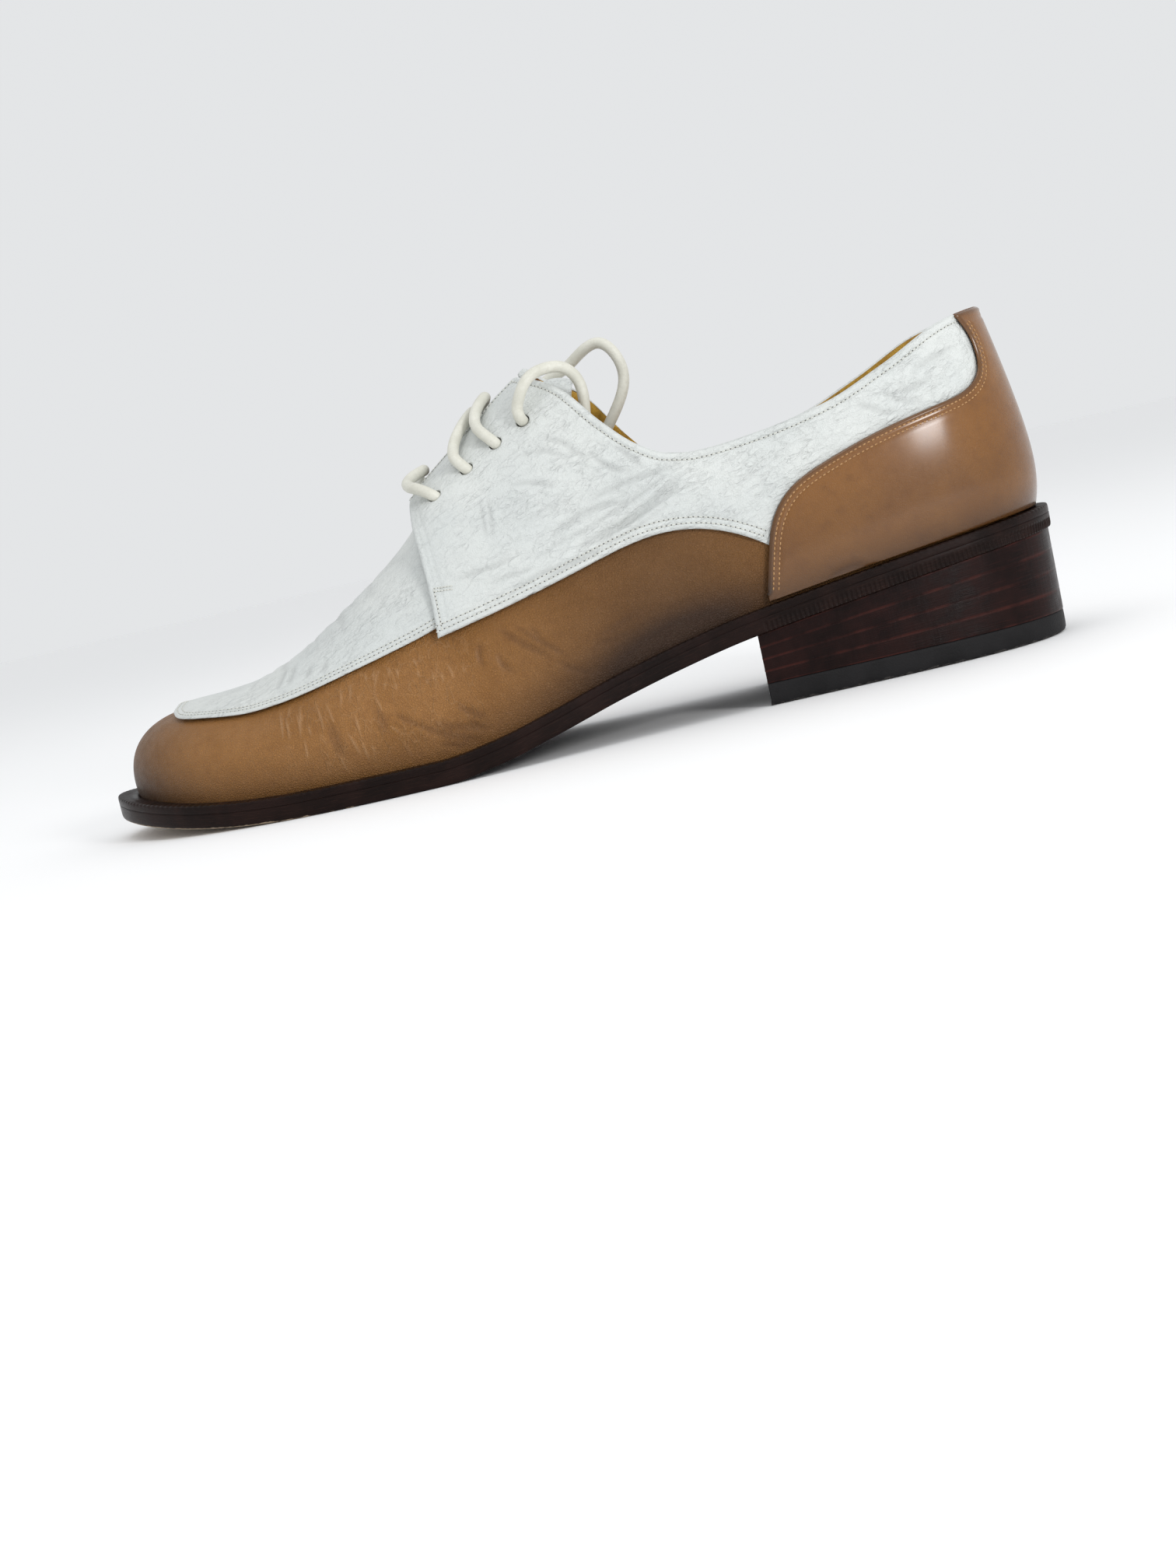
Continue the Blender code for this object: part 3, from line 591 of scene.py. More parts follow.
paint = Paint("stacked_heel_leather", Specular_IOR_Level=0.09)
layers = paint.noise(paint.stretched(paint.uv, (0.06, 9.0, 1.0)), 2.0, 5.0, 0.6)
broken = paint.noise(paint.spot, 140.0, 4.0)
fibre = paint.noise(paint.stretched(paint.spot, (1.0, 1.0, 0.12)), 900.0)
from_middle = paint.maths("ABSOLUTE", paint.less(paint.axis(paint.uv, "Y"), 0.5))
joint_line = paint.times(paint.span(from_middle, 0.37, 0.48), paint.span(broken, 0.36, 0.62, 0.1, 1.0))
paint.base(paint.span(broken, 0.3, 0.7), (19, 9, 8), (31, 14, 12))
paint.layer(paint.span(layers, 0.5, 0.72, 0.0, 0.45), (50, 23, 20))
paint.layer(paint.times(joint_line, 0.55), (70, 33, 28))
stack_dye = paint.finish(paint.plus(layers, paint.times(fibre, 0.4)), 0.00014,
                         paint.span(broken, 0.25, 0.75, 0.26, 0.46))

paint = Paint("black_rubber", Specular_IOR_Level=0.15)
speck = paint.noise(paint.spot, 2200.0)
cloud = paint.noise(paint.spot, 120.0, 4.0, 0.6)
rubbed = paint.use(edge_rub, {"Vector": paint.spot, "Scale": 500.0, "Amount": 0.62,
                              "Where": paint.span(paint.axis(paint.uv, "Y"), 0.02, 0.3, 1.0, 0.1)})["Mask"]
paint.base(paint.span(cloud, 0.3, 0.7), (20, 19, 20), (30, 29, 30))
paint.layer(paint.times(rubbed, 0.35), (92, 88, 84))
rubber = paint.finish(paint.plus(speck, cloud), 0.00012, paint.span(cloud, 0.2, 0.8, 0.5, 0.7))


def lift_face(number):
    """Lower face of a leather lift, counted from 0 above the rubber."""
    share = number / LEATHER_LIFTS
    return lambda at: TOP_LIFT_THICKNESS + (bottom(at) - TOP_LIFT_THICKNESS) * share


def heel_plate(profile, low, high):
    return edged_plate(HEEL_TRACE, heel_shares, profile, low, high,
                       inner_shares=heel_shares / outer_last * inner_last)


rubber_lift = heel_plate(RUBBER_EDGE, np.zeros_like, lambda at: np.full_like(at, TOP_LIFT_THICKNESS))
add_piece("top_lift_dressed", rubber_lift, rubber, "black_rubber", "top_lift", sharp=SHARP_EDGE)
for lift in range(LEATHER_LIFTS):
    add_piece(f"heel_lift_{lift + 1}_dressed", heel_plate(LIFT_EDGE, lift_face(lift), lift_face(lift + 1)),
              stack_dye, "heel_stack", f"heel_lift_{lift + 1}", sharp=SHARP_EDGE)

# Welt.
# A strip of dark leather round the shoe, sewn to the upper and lying on the outsole. A heated wheel has
# pressed a tooth mark into it at each stitch, and its outer edge is trimmed round.
WELT_THICKNESS = 2.2
BELLY_HEIGHT = 18.0
TOOTH_MARKS = 306
TOOTH_DEPTH, TOOTH_WIDTH = 0.2, 0.6
# Where on the section of the welt the marks begin and are full
TOOTH_REACH, TOOTH_RISE = (0.15, 0.5), (0.45, 0.9)
WELT_SPACING = 0.37
# Keeps the rubbed lower edge of the sole off the welt
WELT_UV_SHIFT = 0.3
# Section of the welt, as shares of its width from the upper outwards and of its thickness
WELT_PROFILE = [
    (0.0, 0.0), (0.0, 0.6), (0.03, 0.9), (0.12, 1.0), (0.3, 1.0), (0.5, 1.0), (0.7, 1.0), (0.86, 1.0),
    (0.94, 0.96), (0.985, 0.84), (1.0, 0.6), (1.0, 0.3), (0.995, 0.06), (0.97, 0.0), (0.5, 0.0),
]
belly = table(SECTIONS, "belly")
FEATHER_LOOP = inset_loop(SOLE_LOOP, welt_edge(SOLE_LOOP[:-1, 0]))
FEATHER_TRACE = trace(FEATHER_LOOP)


def swell_share(height):
    """Share of the belly at a height over the seat, greatest at the height of the belly."""
    part = height / BELLY_HEIGHT
    return part * np.exp(1.0 - part)


def seat(along):
    """Height of what stands on the outsole: the lower edge of the upper, the welt and the insole."""
    return bottom(along) + SOLE_THICKNESS + GAP


WELT_TRACE = trace(inset_loop(FEATHER_LOOP, -swell_share(WELT_THICKNESS) * belly(FEATHER_LOOP[:-1, 0])))
welt_shares = spaced_shares(SOLE_TRACE, WELT_SPACING)
welt_turns = all_round(welt_shares, welt_shares)
welt_lengths = run_along(around(SOLE_TRACE, welt_turns))
welt_rows = np.array(WELT_PROFILE + WELT_PROFILE[:1])


def welt_shape(across, up):
    column = nearest_index(across, welt_turns)
    reach, rise = welt_rows[nearest_index(up, welt_rows)].T
    turn = welt_turns[column]
    inner = around(WELT_TRACE, turn)
    outer = around(SOLE_TRACE, turn)
    flat = inner + (outer - inner) * reach[:, None]
    tooth = 0.5 - 0.5 * np.cos(welt_lengths[column] / welt_lengths[-1] * 2.0 * np.pi * TOOTH_MARKS)
    pressed = TOOTH_DEPTH * (1.0 - tooth ** TOOTH_WIDTH) * ease(reach, *TOOTH_REACH) * ease(rise, *TOOTH_RISE)
    height = (seat(flat[:, 0]) - GAP + (WELT_THICKNESS + GAP) * rise) - pressed
    return {"place": np.column_stack([flat, height]),
            "uv": np.stack([welt_lengths[column], WELT_UV_SHIFT + rise], -1)}


welt_mesh = mapped_grid(bmesh.new(), len(welt_turns) - 1, len(welt_rows) - 1, welt_shape)
add_piece("welt_dressed", welt_mesh, sole_dye, "sole_leather", "welt")

# Insole.
# A leather board inside the shoe, faced with the napped ochre leather that lines it. The upper is drawn in
# under its edge.
WALL = 1.8
INSOLE_THICKNESS = 2.4
INSOLE_SPACING = 2.5
INSOLE_EDGE = [Edge(0.2, 0.0), Edge(0.0, 0.1), Edge(0.0, 0.7), Edge(0.25, 0.93), Edge(0.9, 1.0)]

paint = Paint("ochre_napped_lining", Roughness=0.85, Sheen_Weight=0.35, Sheen_Roughness=0.5,
              Sheen_Tint=colour(236, 205, 120))
fuzz = paint.noise(paint.spot, 2600.0, 4.0, 0.7)
nap = paint.noise(paint.spot, 420.0, 5.0, 0.65)
cloud = paint.noise(paint.spot, 60.0)
paint.base(paint.span(nap, 0.3, 0.7), (150, 108, 26), (206, 162, 56))
paint.layer(paint.span(cloud, 0.35, 0.75, 0.0, 0.4), (176, 130, 62))
paint.layer(paint.span(fuzz, 0.58, 0.75, 0.0, 0.5), (232, 200, 110))
napped = paint.finish(paint.plus(fuzz, nap), 0.0004)

INSOLE_TRACE = trace(inset_loop(FEATHER_LOOP, WALL + GAP))
insole_mesh = edged_plate(INSOLE_TRACE, spaced_shares(INSOLE_TRACE, INSOLE_SPACING), INSOLE_EDGE, seat,
                          lambda at: seat(at) + INSOLE_THICKNESS)
add_piece("insole_dressed", insole_mesh, napped, "ochre_lining", "insole", sharp=SHARP_EDGE)

# Upper.
# The vamp and its lower sides are tan calf, drawn wet over the last and sewn to the welt. Walking has folded
# it into short flex creases across the ball of the foot, with painted shade in their troughs and painted
# highlights on their ridges. It is darker near the welt, at the toe and in the waist, partly from a burnished
# finish and partly painted shade on the low and hollow parts.
PIVOT_EASE = 10.0
HEEL_PIVOT, TOE_PIVOT = 35.0, 246.0
LEATHER = 1.0
SHOE_MIDDLE = 10.0
SHEET_WELD = 0.06
NORMAL_STEP = 0.002
HALVINGS, PLACE_ROUNDS = 26, 10
# Rows in the part of the upper that shows, the share of the height that it takes, and rows above it
VAMP_ROWS, VAMP_SHARE, HIDDEN_ROWS = 56, 0.62, 9
OUTER_SPACING, INNER_SPACING, CALM_SPACING = 0.34, 0.9, 2.0
FLEX_START, FLEX_END, FLEX_EASE = 128.0, 232.0, 10.0
THROAT_FRONT = 167.0
THROAT_HALF_WIDTH = 3.0
THROAT_TAPER = 8.0
COLLAR_DIP = 96.0

# Cut line of the collar, by place along the foot and height over the floor
Mark = namedtuple("Mark", "along height")
COLLAR = [
    Mark(8.0, 94.0),
    Mark(23.0, 91.2),
    Mark(42.0, 83.0),
    Mark(60.0, 76.2),
    Mark(80.0, 72.6),
    Mark(96.0, 71.4),
    Mark(105.0, 72.8),
    Mark(112.0, 76.8),
    Mark(120.0, 85.0),
    Mark(128.0, 95.5),
    Mark(132.0, 98.4),
    Mark(138.0, 101.2),
    Mark(150.0, 112.0),
]
# How far the inner collar stands back at the instep, and where it begins and ends to
INNER_COLLAR_BACK = 6.0
INNER_COLLAR_FROM, INNER_COLLAR_TO = 98.0, 116.0

# Creases, each through three places on the side of the shoe, with the width and depth of its trough. Where
# the depth is below 0 the leather stands up in a thin ridge instead
Crease = namedtuple("Crease", "along_1 height_1 along_2 height_2 along_3 height_3 width depth")
RIDGE_WIDTH, RIDGE_DEPTH = 0.42, -0.12
VAMP_RIDGES = [Crease(*line, RIDGE_WIDTH, RIDGE_DEPTH) for line in (
    (222.1, 28.9, 221.9, 25.7, 222.0, 20.7),
    (220.5, 26.9, 220.2, 22.9, 220.4, 19.9),
    (218.8, 29.4, 219.4, 27.6, 220.0, 25.9),
    (217.3, 27.6, 216.9, 23.3, 217.1, 19.8),
    (215.8, 29.6, 216.4, 25.2, 216.9, 20.7),
    (216.2, 20.1, 216.2, 17.0, 216.5, 13.9),
    (214.5, 23.4, 214.3, 21.8, 214.0, 20.2),
    (211.7, 29.1, 210.7, 24.7, 210.2, 20.2),
    (209.1, 29.4, 207.6, 24.0, 207.3, 16.2),
    (208.0, 16.4, 207.2, 11.9, 206.2, 8.5),
    (204.0, 31.5, 204.2, 28.5, 204.9, 25.6),
    (201.2, 32.2, 201.3, 29.9, 202.3, 26.5),
    (204.5, 20.3, 203.5, 17.5, 201.8, 11.9),
    (196.5, 33.8, 196.6, 32.4, 196.7, 31.0),
    (194.0, 33.8, 194.4, 32.5, 194.7, 31.1),
    (192.0, 34.4, 193.9, 31.5, 195.2, 27.6),
    (195.3, 28.2, 193.8, 22.7, 193.5, 19.0),
    (196.1, 21.7, 195.2, 18.3, 194.4, 16.1),
    (189.9, 34.0, 190.0, 32.6, 190.2, 31.2),
    (191.3, 30.9, 191.8, 29.5, 192.4, 28.1),
    (187.8, 33.3, 187.9, 31.8, 188.0, 30.2),
    (188.8, 29.6, 188.9, 28.5, 189.0, 27.4),
    (182.3, 31.6, 182.4, 30.3, 182.5, 29.1),
    (183.2, 34.9, 182.7, 33.5, 182.2, 32.1),
    (180.7, 28.7, 180.5, 27.7, 180.3, 26.8),
    (178.6, 29.8, 178.6, 28.5, 178.7, 27.2),
    (176.2, 29.7, 176.3, 28.2, 176.4, 26.6),
    (174.5, 31.5, 173.7, 29.2, 173.5, 26.5),
    (170.3, 30.0, 170.3, 28.9, 170.3, 27.9),
    (193.4, 19.5, 191.7, 17.6, 189.9, 16.1),
    (198.7, 14.9, 198.4, 13.8, 198.2, 12.6),
    (200.9, 17.0, 200.6, 13.7, 200.0, 10.4),
    (201.5, 24.3, 201.0, 20.1, 200.8, 17.5),
)]
VAMP_FOLDS = [
    Crease(186.7, 18.5, 181.2, 14.6, 169.6, 9.7, 0.9, 0.4),
    Crease(182.7, 17.3, 175.9, 14.6, 165.5, 12.4, 0.9, 0.4),
    Crease(172.0, 15.4, 170.2, 13.9, 168.6, 12.8, 0.8, 0.3),
    Crease(191.2, 22.1, 187.2, 18.6, 183.5, 16.0, 0.8, 0.3),
    Crease(174.5, 21.0, 171.0, 17.5, 166.3, 14.8, 0.9, 0.35),
    Crease(181.4, 11.5, 175.5, 9.5, 170.3, 9.3, 0.8, 0.3),
    Crease(208.6, 24.0, 207.9, 18.4, 206.9, 12.2, 1.6, 0.3),
    Crease(195.4, 25.0, 194.6, 20.8, 193.6, 16.2, 1.5, 0.25),
    Crease(159.7, 37.7, 154.4, 33.0, 145.9, 26.1, 1.0, 0.36),
    Crease(154.8, 37.3, 148.9, 31.8, 141.1, 25.3, 0.9, 0.3),
    Crease(150.8, 36.3, 149.3, 34.1, 147.8, 31.9, 0.8, 0.22),
    Crease(146.0, 25.8, 141.7, 22.6, 136.5, 20.3, 0.9, 0.26),
    Crease(134.7, 28.4, 124.5, 32.1, 118.2, 34.6, 1.1, 0.24),
    Crease(137.3, 26.2, 131.3, 27.6, 123.8, 28.8, 1.0, 0.2),
    Crease(163.8, 35.2, 165.3, 32.0, 164.8, 27.7, 0.9, 0.26),
    Crease(160.4, 31.6, 159.8, 27.9, 156.3, 24.3, 0.9, 0.26),
]

crest = table(SECTIONS, "crest")
ridge = table(SECTIONS, "ridge")
squareness = table(SECTIONS, "squareness")
collar_height = table(COLLAR, "height")


def fan_middle(along):
    """Where the columns of the last start from: their own place, drawn in at the heel and at the toe."""
    def eased(beyond):
        return np.clip(beyond + PIVOT_EASE, 0.0, 2.0 * PIVOT_EASE) ** 2 / (4.0 * PIVOT_EASE) + np.maximum(
            beyond - PIVOT_EASE, 0.0)
    return np.where(along < SHOE_LENGTH / 2.0, HEEL_PIVOT + eased(along - HEEL_PIVOT),
                    TOE_PIVOT - eased(TOE_PIVOT - along))


def skin(turn, climb):
    """Outer face of the upper. Climb runs from 0 at the welt seam to 1 on the ridge of the foot."""
    turn, climb = np.broadcast_arrays(np.asarray(turn, float), np.asarray(climb, float))
    foot = around(FEATHER_TRACE, turn)
    along = foot[..., 0]
    middle = fan_middle(along)
    middle = np.stack([middle, ridge(middle)], -1)
    power = squareness(along)
    angle = climb * np.pi / 2.0
    run, rise = np.abs(np.cos(angle)), np.sin(angle)
    radius = (run ** power + rise ** power) ** (1.0 / power)
    run, rise = run / radius, rise / radius
    low = seat(along)
    high = crest(middle[..., 0])
    swell = belly(along) * swell_share((high - low) * rise)
    spread = foot - middle
    width = np.linalg.norm(spread, axis=-1)
    plan = middle + spread * (run * (1.0 + swell / width))[..., None]
    return np.concatenate([plan, (low + (high - low) * rise)[..., None]], -1)


def leather_normal(turn, climb):
    """Outward direction of the skin, measured over a small step."""
    inside = np.clip(climb, NORMAL_STEP, 1.0 - 2.0 * NORMAL_STEP)
    ahead = skin(turn + NORMAL_STEP, inside) - skin(turn - NORMAL_STEP, inside)
    upward = skin(turn, inside + NORMAL_STEP) - skin(turn, inside - NORMAL_STEP)
    return unit(np.cross(upward, ahead))


def leather(turn, climb, offset):
    """The skin moved out along its own normal by an offset, or in by a negative one."""
    turn, climb = np.broadcast_arrays(np.asarray(turn, float), np.asarray(climb, float))
    return skin(turn, climb) + leather_normal(turn, climb) * np.broadcast_to(offset, turn.shape)[..., None]


def climb_for_share(turn, share):
    """Climb where the skin lies at a share of its half width from the ridge."""
    power = squareness(around(FEATHER_TRACE, turn)[..., 0])
    share = np.clip(share, 0.0, 1.0)
    return np.arctan2((1.0 - share ** power) ** (1.0 / power), share) * 2.0 / np.pi


def climb_for_height(turn, height_at):
    """Climb where the skin reaches a height that is a function of the place along the foot."""
    low, high = np.zeros_like(turn), np.ones_like(turn)
    for _ in range(HALVINGS):
        middle = (low + high) / 2.0
        point = skin(turn, middle)
        under = point[..., 2] < height_at(point[..., 0])
        low, high = np.where(under, middle, low), np.where(under, high, middle)
    return (low + high) / 2.0


def collar_climb(turn):
    """Climb of the edge of the collar, which stands further back on the inner side of the instep."""
    inner = np.mod(turn, 2.0) > 1.0
    return climb_for_height(turn, lambda at: collar_height(
        at + inner * INNER_COLLAR_BACK * ease(at, INNER_COLLAR_FROM, INNER_COLLAR_TO)))


def locate(marks, side):
    """Turn and climb of marks given by place along the foot and height, on the outer or inner side."""
    share = np.linspace(0.0, 1.0, len(FEATHER_TRACE[0]))
    foot_along = FEATHER_TRACE[0 if side > 0 else 1][:, 0]
    along, height = marks[:, 0], marks[:, 1]
    part = np.interp(along, foot_along, share)
    for _ in range(PLACE_ROUNDS):
        turn = part if side > 0 else 2.0 - part
        climb = climb_for_height(turn, lambda at: height)
        miss = along - skin(turn, climb)[..., 0]
        part = np.interp(np.interp(part, share, foot_along) + miss, foot_along, share)
    return np.stack([part if side > 0 else 2.0 - part, climb], -1)


def turn_at(along, side):
    """Turn of a place along the welt seam, on the outer or inner side."""
    half = FEATHER_TRACE[0 if side > 0 else 1]
    part = np.interp(along, half[:, 0], np.linspace(0.0, 1.0, len(half)))
    return part if side > 0 else 2.0 - part


def throat_climb(turn, front, half_width):
    """Climb of the edge of the throat slit, or 1 where the upper is whole ahead of it."""
    foot = around(FEATHER_TRACE, turn)
    reach = np.abs(foot[..., 1] - ridge(foot[..., 0]))
    opening = half_width * np.sqrt(np.clip((front - foot[..., 0]) / THROAT_TAPER, 0.0, 1.0))
    return np.where(foot[..., 0] > COLLAR_DIP, climb_for_share(turn, opening / reach), 1.0)


def cut_line(turns, climbs):
    """A line on the upper, as rows of a turn and a climb."""
    return np.stack(np.broadcast_arrays(turns, climbs), -1)


def opening_line(turns, front=THROAT_FRONT, half_width=THROAT_HALF_WIDTH):
    """Edge of the opening for the foot: the collar, and the throat as far as its front."""
    return cut_line(turns, np.minimum(collar_climb(turns), throat_climb(turns, front, half_width)))


CREASE_POINTS = 9
CREASE_REACH = 3.6
FLANK_SHARE, FLANK_PLACE = 0.5, 1.9
FULL_DEPTH = 0.26
END_FADE = 0.7


def crease_paths(creases, side):
    """The lines of creases on the skin of one side."""
    marks = [curve_through([crease[0:2], crease[2:4], crease[4:6]], CREASE_POINTS) for crease in creases]
    at = locate(np.vstack(marks), side)
    return skin(at[:, 0], at[:, 1]).reshape(len(creases), CREASE_POINTS, 3)


def crease_relief(points, paths, creases):
    """Soft troughs with a low ridge on either flank, or thin ridges, faded at their ends.

    The second result is 1 on a ridge, -1 in a trough and 0 on calm leather. The materials paint shade
    in the troughs from it, and the tan calf also paints highlights on the ridges.
    """
    relief = np.zeros(len(points))
    fold = np.zeros(len(points))
    for path, crease in zip(paths, creases):
        reach = CREASE_REACH * crease.width
        near = np.all((points > path.min(0) - reach) & (points < path.max(0) + reach), axis=1)
        if not near.any():
            continue
        span = np.diff(path, axis=0)
        away = points[near][:, None] - path[:-1]
        share = np.clip((away * span).sum(-1) / (span ** 2).sum(-1), 0.0, 1.0)
        gap = np.linalg.norm(away - share[..., None] * span, axis=-1)
        nearest = gap.argmin(1)
        distance = gap.min(1) / crease.width
        run = (nearest + share[np.arange(len(share)), nearest]) / len(span)
        fade = np.sin(np.pi * np.clip(run, 0.0, 1.0)) ** END_FADE
        inside = np.exp(-distance ** 2)
        flank = np.exp(-(distance - FLANK_PLACE) ** 2)
        relief[near] += crease.depth * fade * (FLANK_SHARE * flank - inside)
        strength = -crease.depth / FULL_DEPTH * fade * inside
        fold[near] = np.where(np.abs(strength) > np.abs(fold[near]), np.clip(strength, -1.0, 1.0), fold[near])
    return relief, fold


# Grain of a hide: pebbles with fine grooves between them, smaller pebbles on those, and pores
hide_grain = Group("hide_grain", {
    "Vector": None, "Pebble Scale": 900.0, "Pore Scale": 4000.0, "Warp": 0.0006}, ["Height", "Groove"])
spot, pebbles = hide_grain.entry["Vector"], hide_grain.entry["Pebble Scale"]
warped = hide_grain.warped(spot, hide_grain.times(pebbles, 0.6), 2.0, hide_grain.entry["Warp"])
large = hide_grain.cells(warped, pebbles)
small = hide_grain.cells(warped, hide_grain.times(pebbles, 2.3))
pores = hide_grain.noise(spot, hide_grain.entry["Pore Scale"], 2.0)
height = hide_grain.plus(hide_grain.times(hide_grain.span(large, 0.0, 0.28), 0.6),
                         hide_grain.times(hide_grain.span(small, 0.0, 0.3), 0.25))
hide_grain.give("Height", hide_grain.plus(height, hide_grain.times(pores, 0.2)))
hide_grain.give("Groove", hide_grain.span(large, 0.0, 0.1, 1.0, 0.0))

# Net of fine wrinkles: thin broken lines round cells of a hide that has been bent and stretched
wrinkle_net = Group("wrinkle_net", {"Vector": None, "Scale": 400.0, "Width": 0.07, "Warp": 0.001}, ["Line"])
spot, scale = wrinkle_net.entry["Vector"], wrinkle_net.entry["Scale"]
warped = wrinkle_net.warped(spot, wrinkle_net.times(scale, 0.7), 3.0, wrinkle_net.entry["Warp"])
line = wrinkle_net.span(wrinkle_net.cells(warped, scale), 0.0, wrinkle_net.entry["Width"], 1.0, 0.0)
gaps = wrinkle_net.noise(spot, wrinkle_net.times(scale, 0.45), 2.0)
wrinkle_net.give("Line", wrinkle_net.times(line, wrinkle_net.span(gaps, 0.36, 0.58)))

paint = Paint("tan_calf", Specular_IOR_Level=0.25, Coat_Weight=0.1, Coat_Roughness=0.34)
grain = paint.use(hide_grain, {
    "Vector": paint.spot, "Pebble Scale": 1500.0, "Pore Scale": 6000.0, "Warp": 0.0004})
upright = paint.turned(paint.spot, 0.1, (0.8, 1.0, 2.6))
net = paint.use(wrinkle_net, {"Vector": upright, "Scale": 480.0, "Width": 0.09, "Warp": 0.0012})["Line"]
flexed = paint.times(net, paint.mark("flex"))
fold = paint.mark("fold")
cloud = paint.noise(paint.spot, 55.0, 4.0, 0.6)
mottle = paint.noise(paint.spot, 320.0, 4.0, 0.6)
paint.base(paint.span(cloud, 0.3, 0.7), (149, 102, 49), (161, 113, 61))
paint.layer(paint.span(mottle, 0.45, 0.75, 0.0, 0.3), (130, 86, 44))
paint.layer(paint.times(grain["Groove"], 0.3), (104, 72, 44))
# Painted shade in the troughs of the creases
paint.layer(paint.held(paint.times(fold, -1.0), 0.32), (88, 58, 36))
# The fine wrinkles where the vamp bends are painted lighter: a painted highlight on their raised lines
paint.layer(paint.times(flexed, 0.2), (194, 152, 110))
# Painted highlight on the thin ridges of the creases
paint.layer(paint.held(fold, 0.75), (206, 166, 126))
# Darkening of the mark: partly a burnished finish, partly painted shade low on the sides, at the toe and in
# the waist
paint.layer(paint.mark("burnish"), (54, 34, 18))
tan_calf = paint.finish(paint.plus(paint.times(grain["Height"], 0.8), paint.times(flexed, 0.6)), 0.00026,
                        paint.span(mottle, 0.3, 0.75, 0.4, 0.54))


def leather_sheet(lower, upper_line, rows, lift, marks=(), lean=1):
    """A mesh of leather between two cut lines, each a row of turns and climbs of the same length.

    Rows are shares of the way from the lower line up. Lift gives the height over the skin, and marks.
    A lean above 1 keeps the grid lines upright low down and turns them to the upper line near it.
    """
    count = len(lower) - 1

    def shape(across, up):
        column = nearest_index(across, lower)
        share = rows[nearest_index(up, rows)]
        at = lower[column] + (upper_line[column] - lower[column]) * np.stack([share ** lean, share], -1)
        offset, values = lift(at[:, 0], at[:, 1])
        return {"place": leather(at[:, 0], at[:, 1], offset), **values}

    sheet = mapped_grid(bmesh.new(), count, len(rows) - 1, shape, marks)
    bmesh.ops.remove_doubles(sheet, verts=sheet.verts, dist=SHEET_WELD * MM)
    bmesh.ops.dissolve_degenerate(sheet, edges=sheet.edges, dist=SHEET_WELD / 2.0 * MM)
    return sheet


def thicken(piece, thickness):
    """Gives a sheet of leather its wall, inwards from its face, which is turned to the outside first."""
    sheet = piece.data
    facing = sum(face.area * face.normal.dot(face.center - Vector((face.center.x, 0.0, SHOE_MIDDLE * MM)))
                 for face in sheet.polygons)
    if facing < 0.0:
        sheet.flip_normals()
    wall = piece.modifiers.new("wall", "SOLIDIFY")
    wall.thickness = thickness * MM
    wall.offset = -1.0


VAMP_CREASES = VAMP_RIDGES + VAMP_FOLDS
vamp_paths = np.concatenate([crease_paths(VAMP_CREASES, 1), crease_paths(VAMP_CREASES, -1)])


WAIST_MIDDLE, WAIST_WIDTH = 114.0, 40.0
# Shares of the darkening, partly a burnished finish and partly painted shade on the low and hollow parts:
# everywhere, near the welt, at the toe, at the waist, and low on the waist
DARK_ALL, DARK_WELT, DARK_TOE, DARK_WAIST, DARK_WAIST_LOW = 0.06, 0.3, 0.6, 0.54, 0.22
# Where they begin and are full, and the same for the fine wrinkles of the leather that bends
NEAR_WELT, NEAR_TOE, LOW_WAIST = (14.0, 1.0), (240.0, 277.0), (26.0, 2.0)
FLEX_BACK, FLEX_FRONT, FLEX_LOW = (148.0, 176.0), (236.0, 214.0), (1.0, 6.0)


def over_welt(points):
    """Height of points of the leather over the welt."""
    return points[:, 2] - seat(points[:, 0]) - WELT_THICKNESS


def vamp_lift(turn, climb):
    points = skin(turn, climb)
    relief, fold = crease_relief(points, vamp_paths, 2 * VAMP_CREASES)
    along, height = points[:, 0], over_welt(points)
    waist = np.exp(-((along - WAIST_MIDDLE) / WAIST_WIDTH) ** 2)
    # Darker near the welt, at the toe and in the waist: partly a burnished finish, partly painted shade on
    # the low and hollow parts
    burnish = DARK_ALL + DARK_WELT * ease(height, *NEAR_WELT) + DARK_TOE * ease(along, *NEAR_TOE)
    burnish += waist * (DARK_WAIST + DARK_WAIST_LOW * ease(height, *LOW_WAIST))
    flex = ease(along, *FLEX_BACK) * ease(along, *FLEX_FRONT) * ease(height, *FLEX_LOW)
    return relief, {"fold": fold, "burnish": np.clip(burnish, 0.0, 1.0), "flex": flex}


def flex_shares(spacing):
    """Columns that are close together where the foot bends."""
    return spaced_shares(FEATHER_TRACE, lambda at: CALM_SPACING + (spacing - CALM_SPACING) * ease(
        at, FLEX_START - FLEX_EASE, FLEX_START) * ease(at, FLEX_END + FLEX_EASE, FLEX_END))


upper_turns = all_round(flex_shares(OUTER_SPACING), flex_shares(INNER_SPACING))
upper_rows = np.concatenate([np.linspace(0.0, VAMP_SHARE, VAMP_ROWS + 1)[:-1],
                             np.linspace(VAMP_SHARE, 1.0, HIDDEN_ROWS + 1)])
upper_mesh = leather_sheet(cut_line(upper_turns, 0.0), opening_line(upper_turns), upper_rows, vamp_lift,
                           ("fold", "burnish", "flex"))
upper = add_piece("upper_dressed", upper_mesh, tan_calf, "tan_leather", "upper", sheet=True)
thicken(upper, LEATHER)

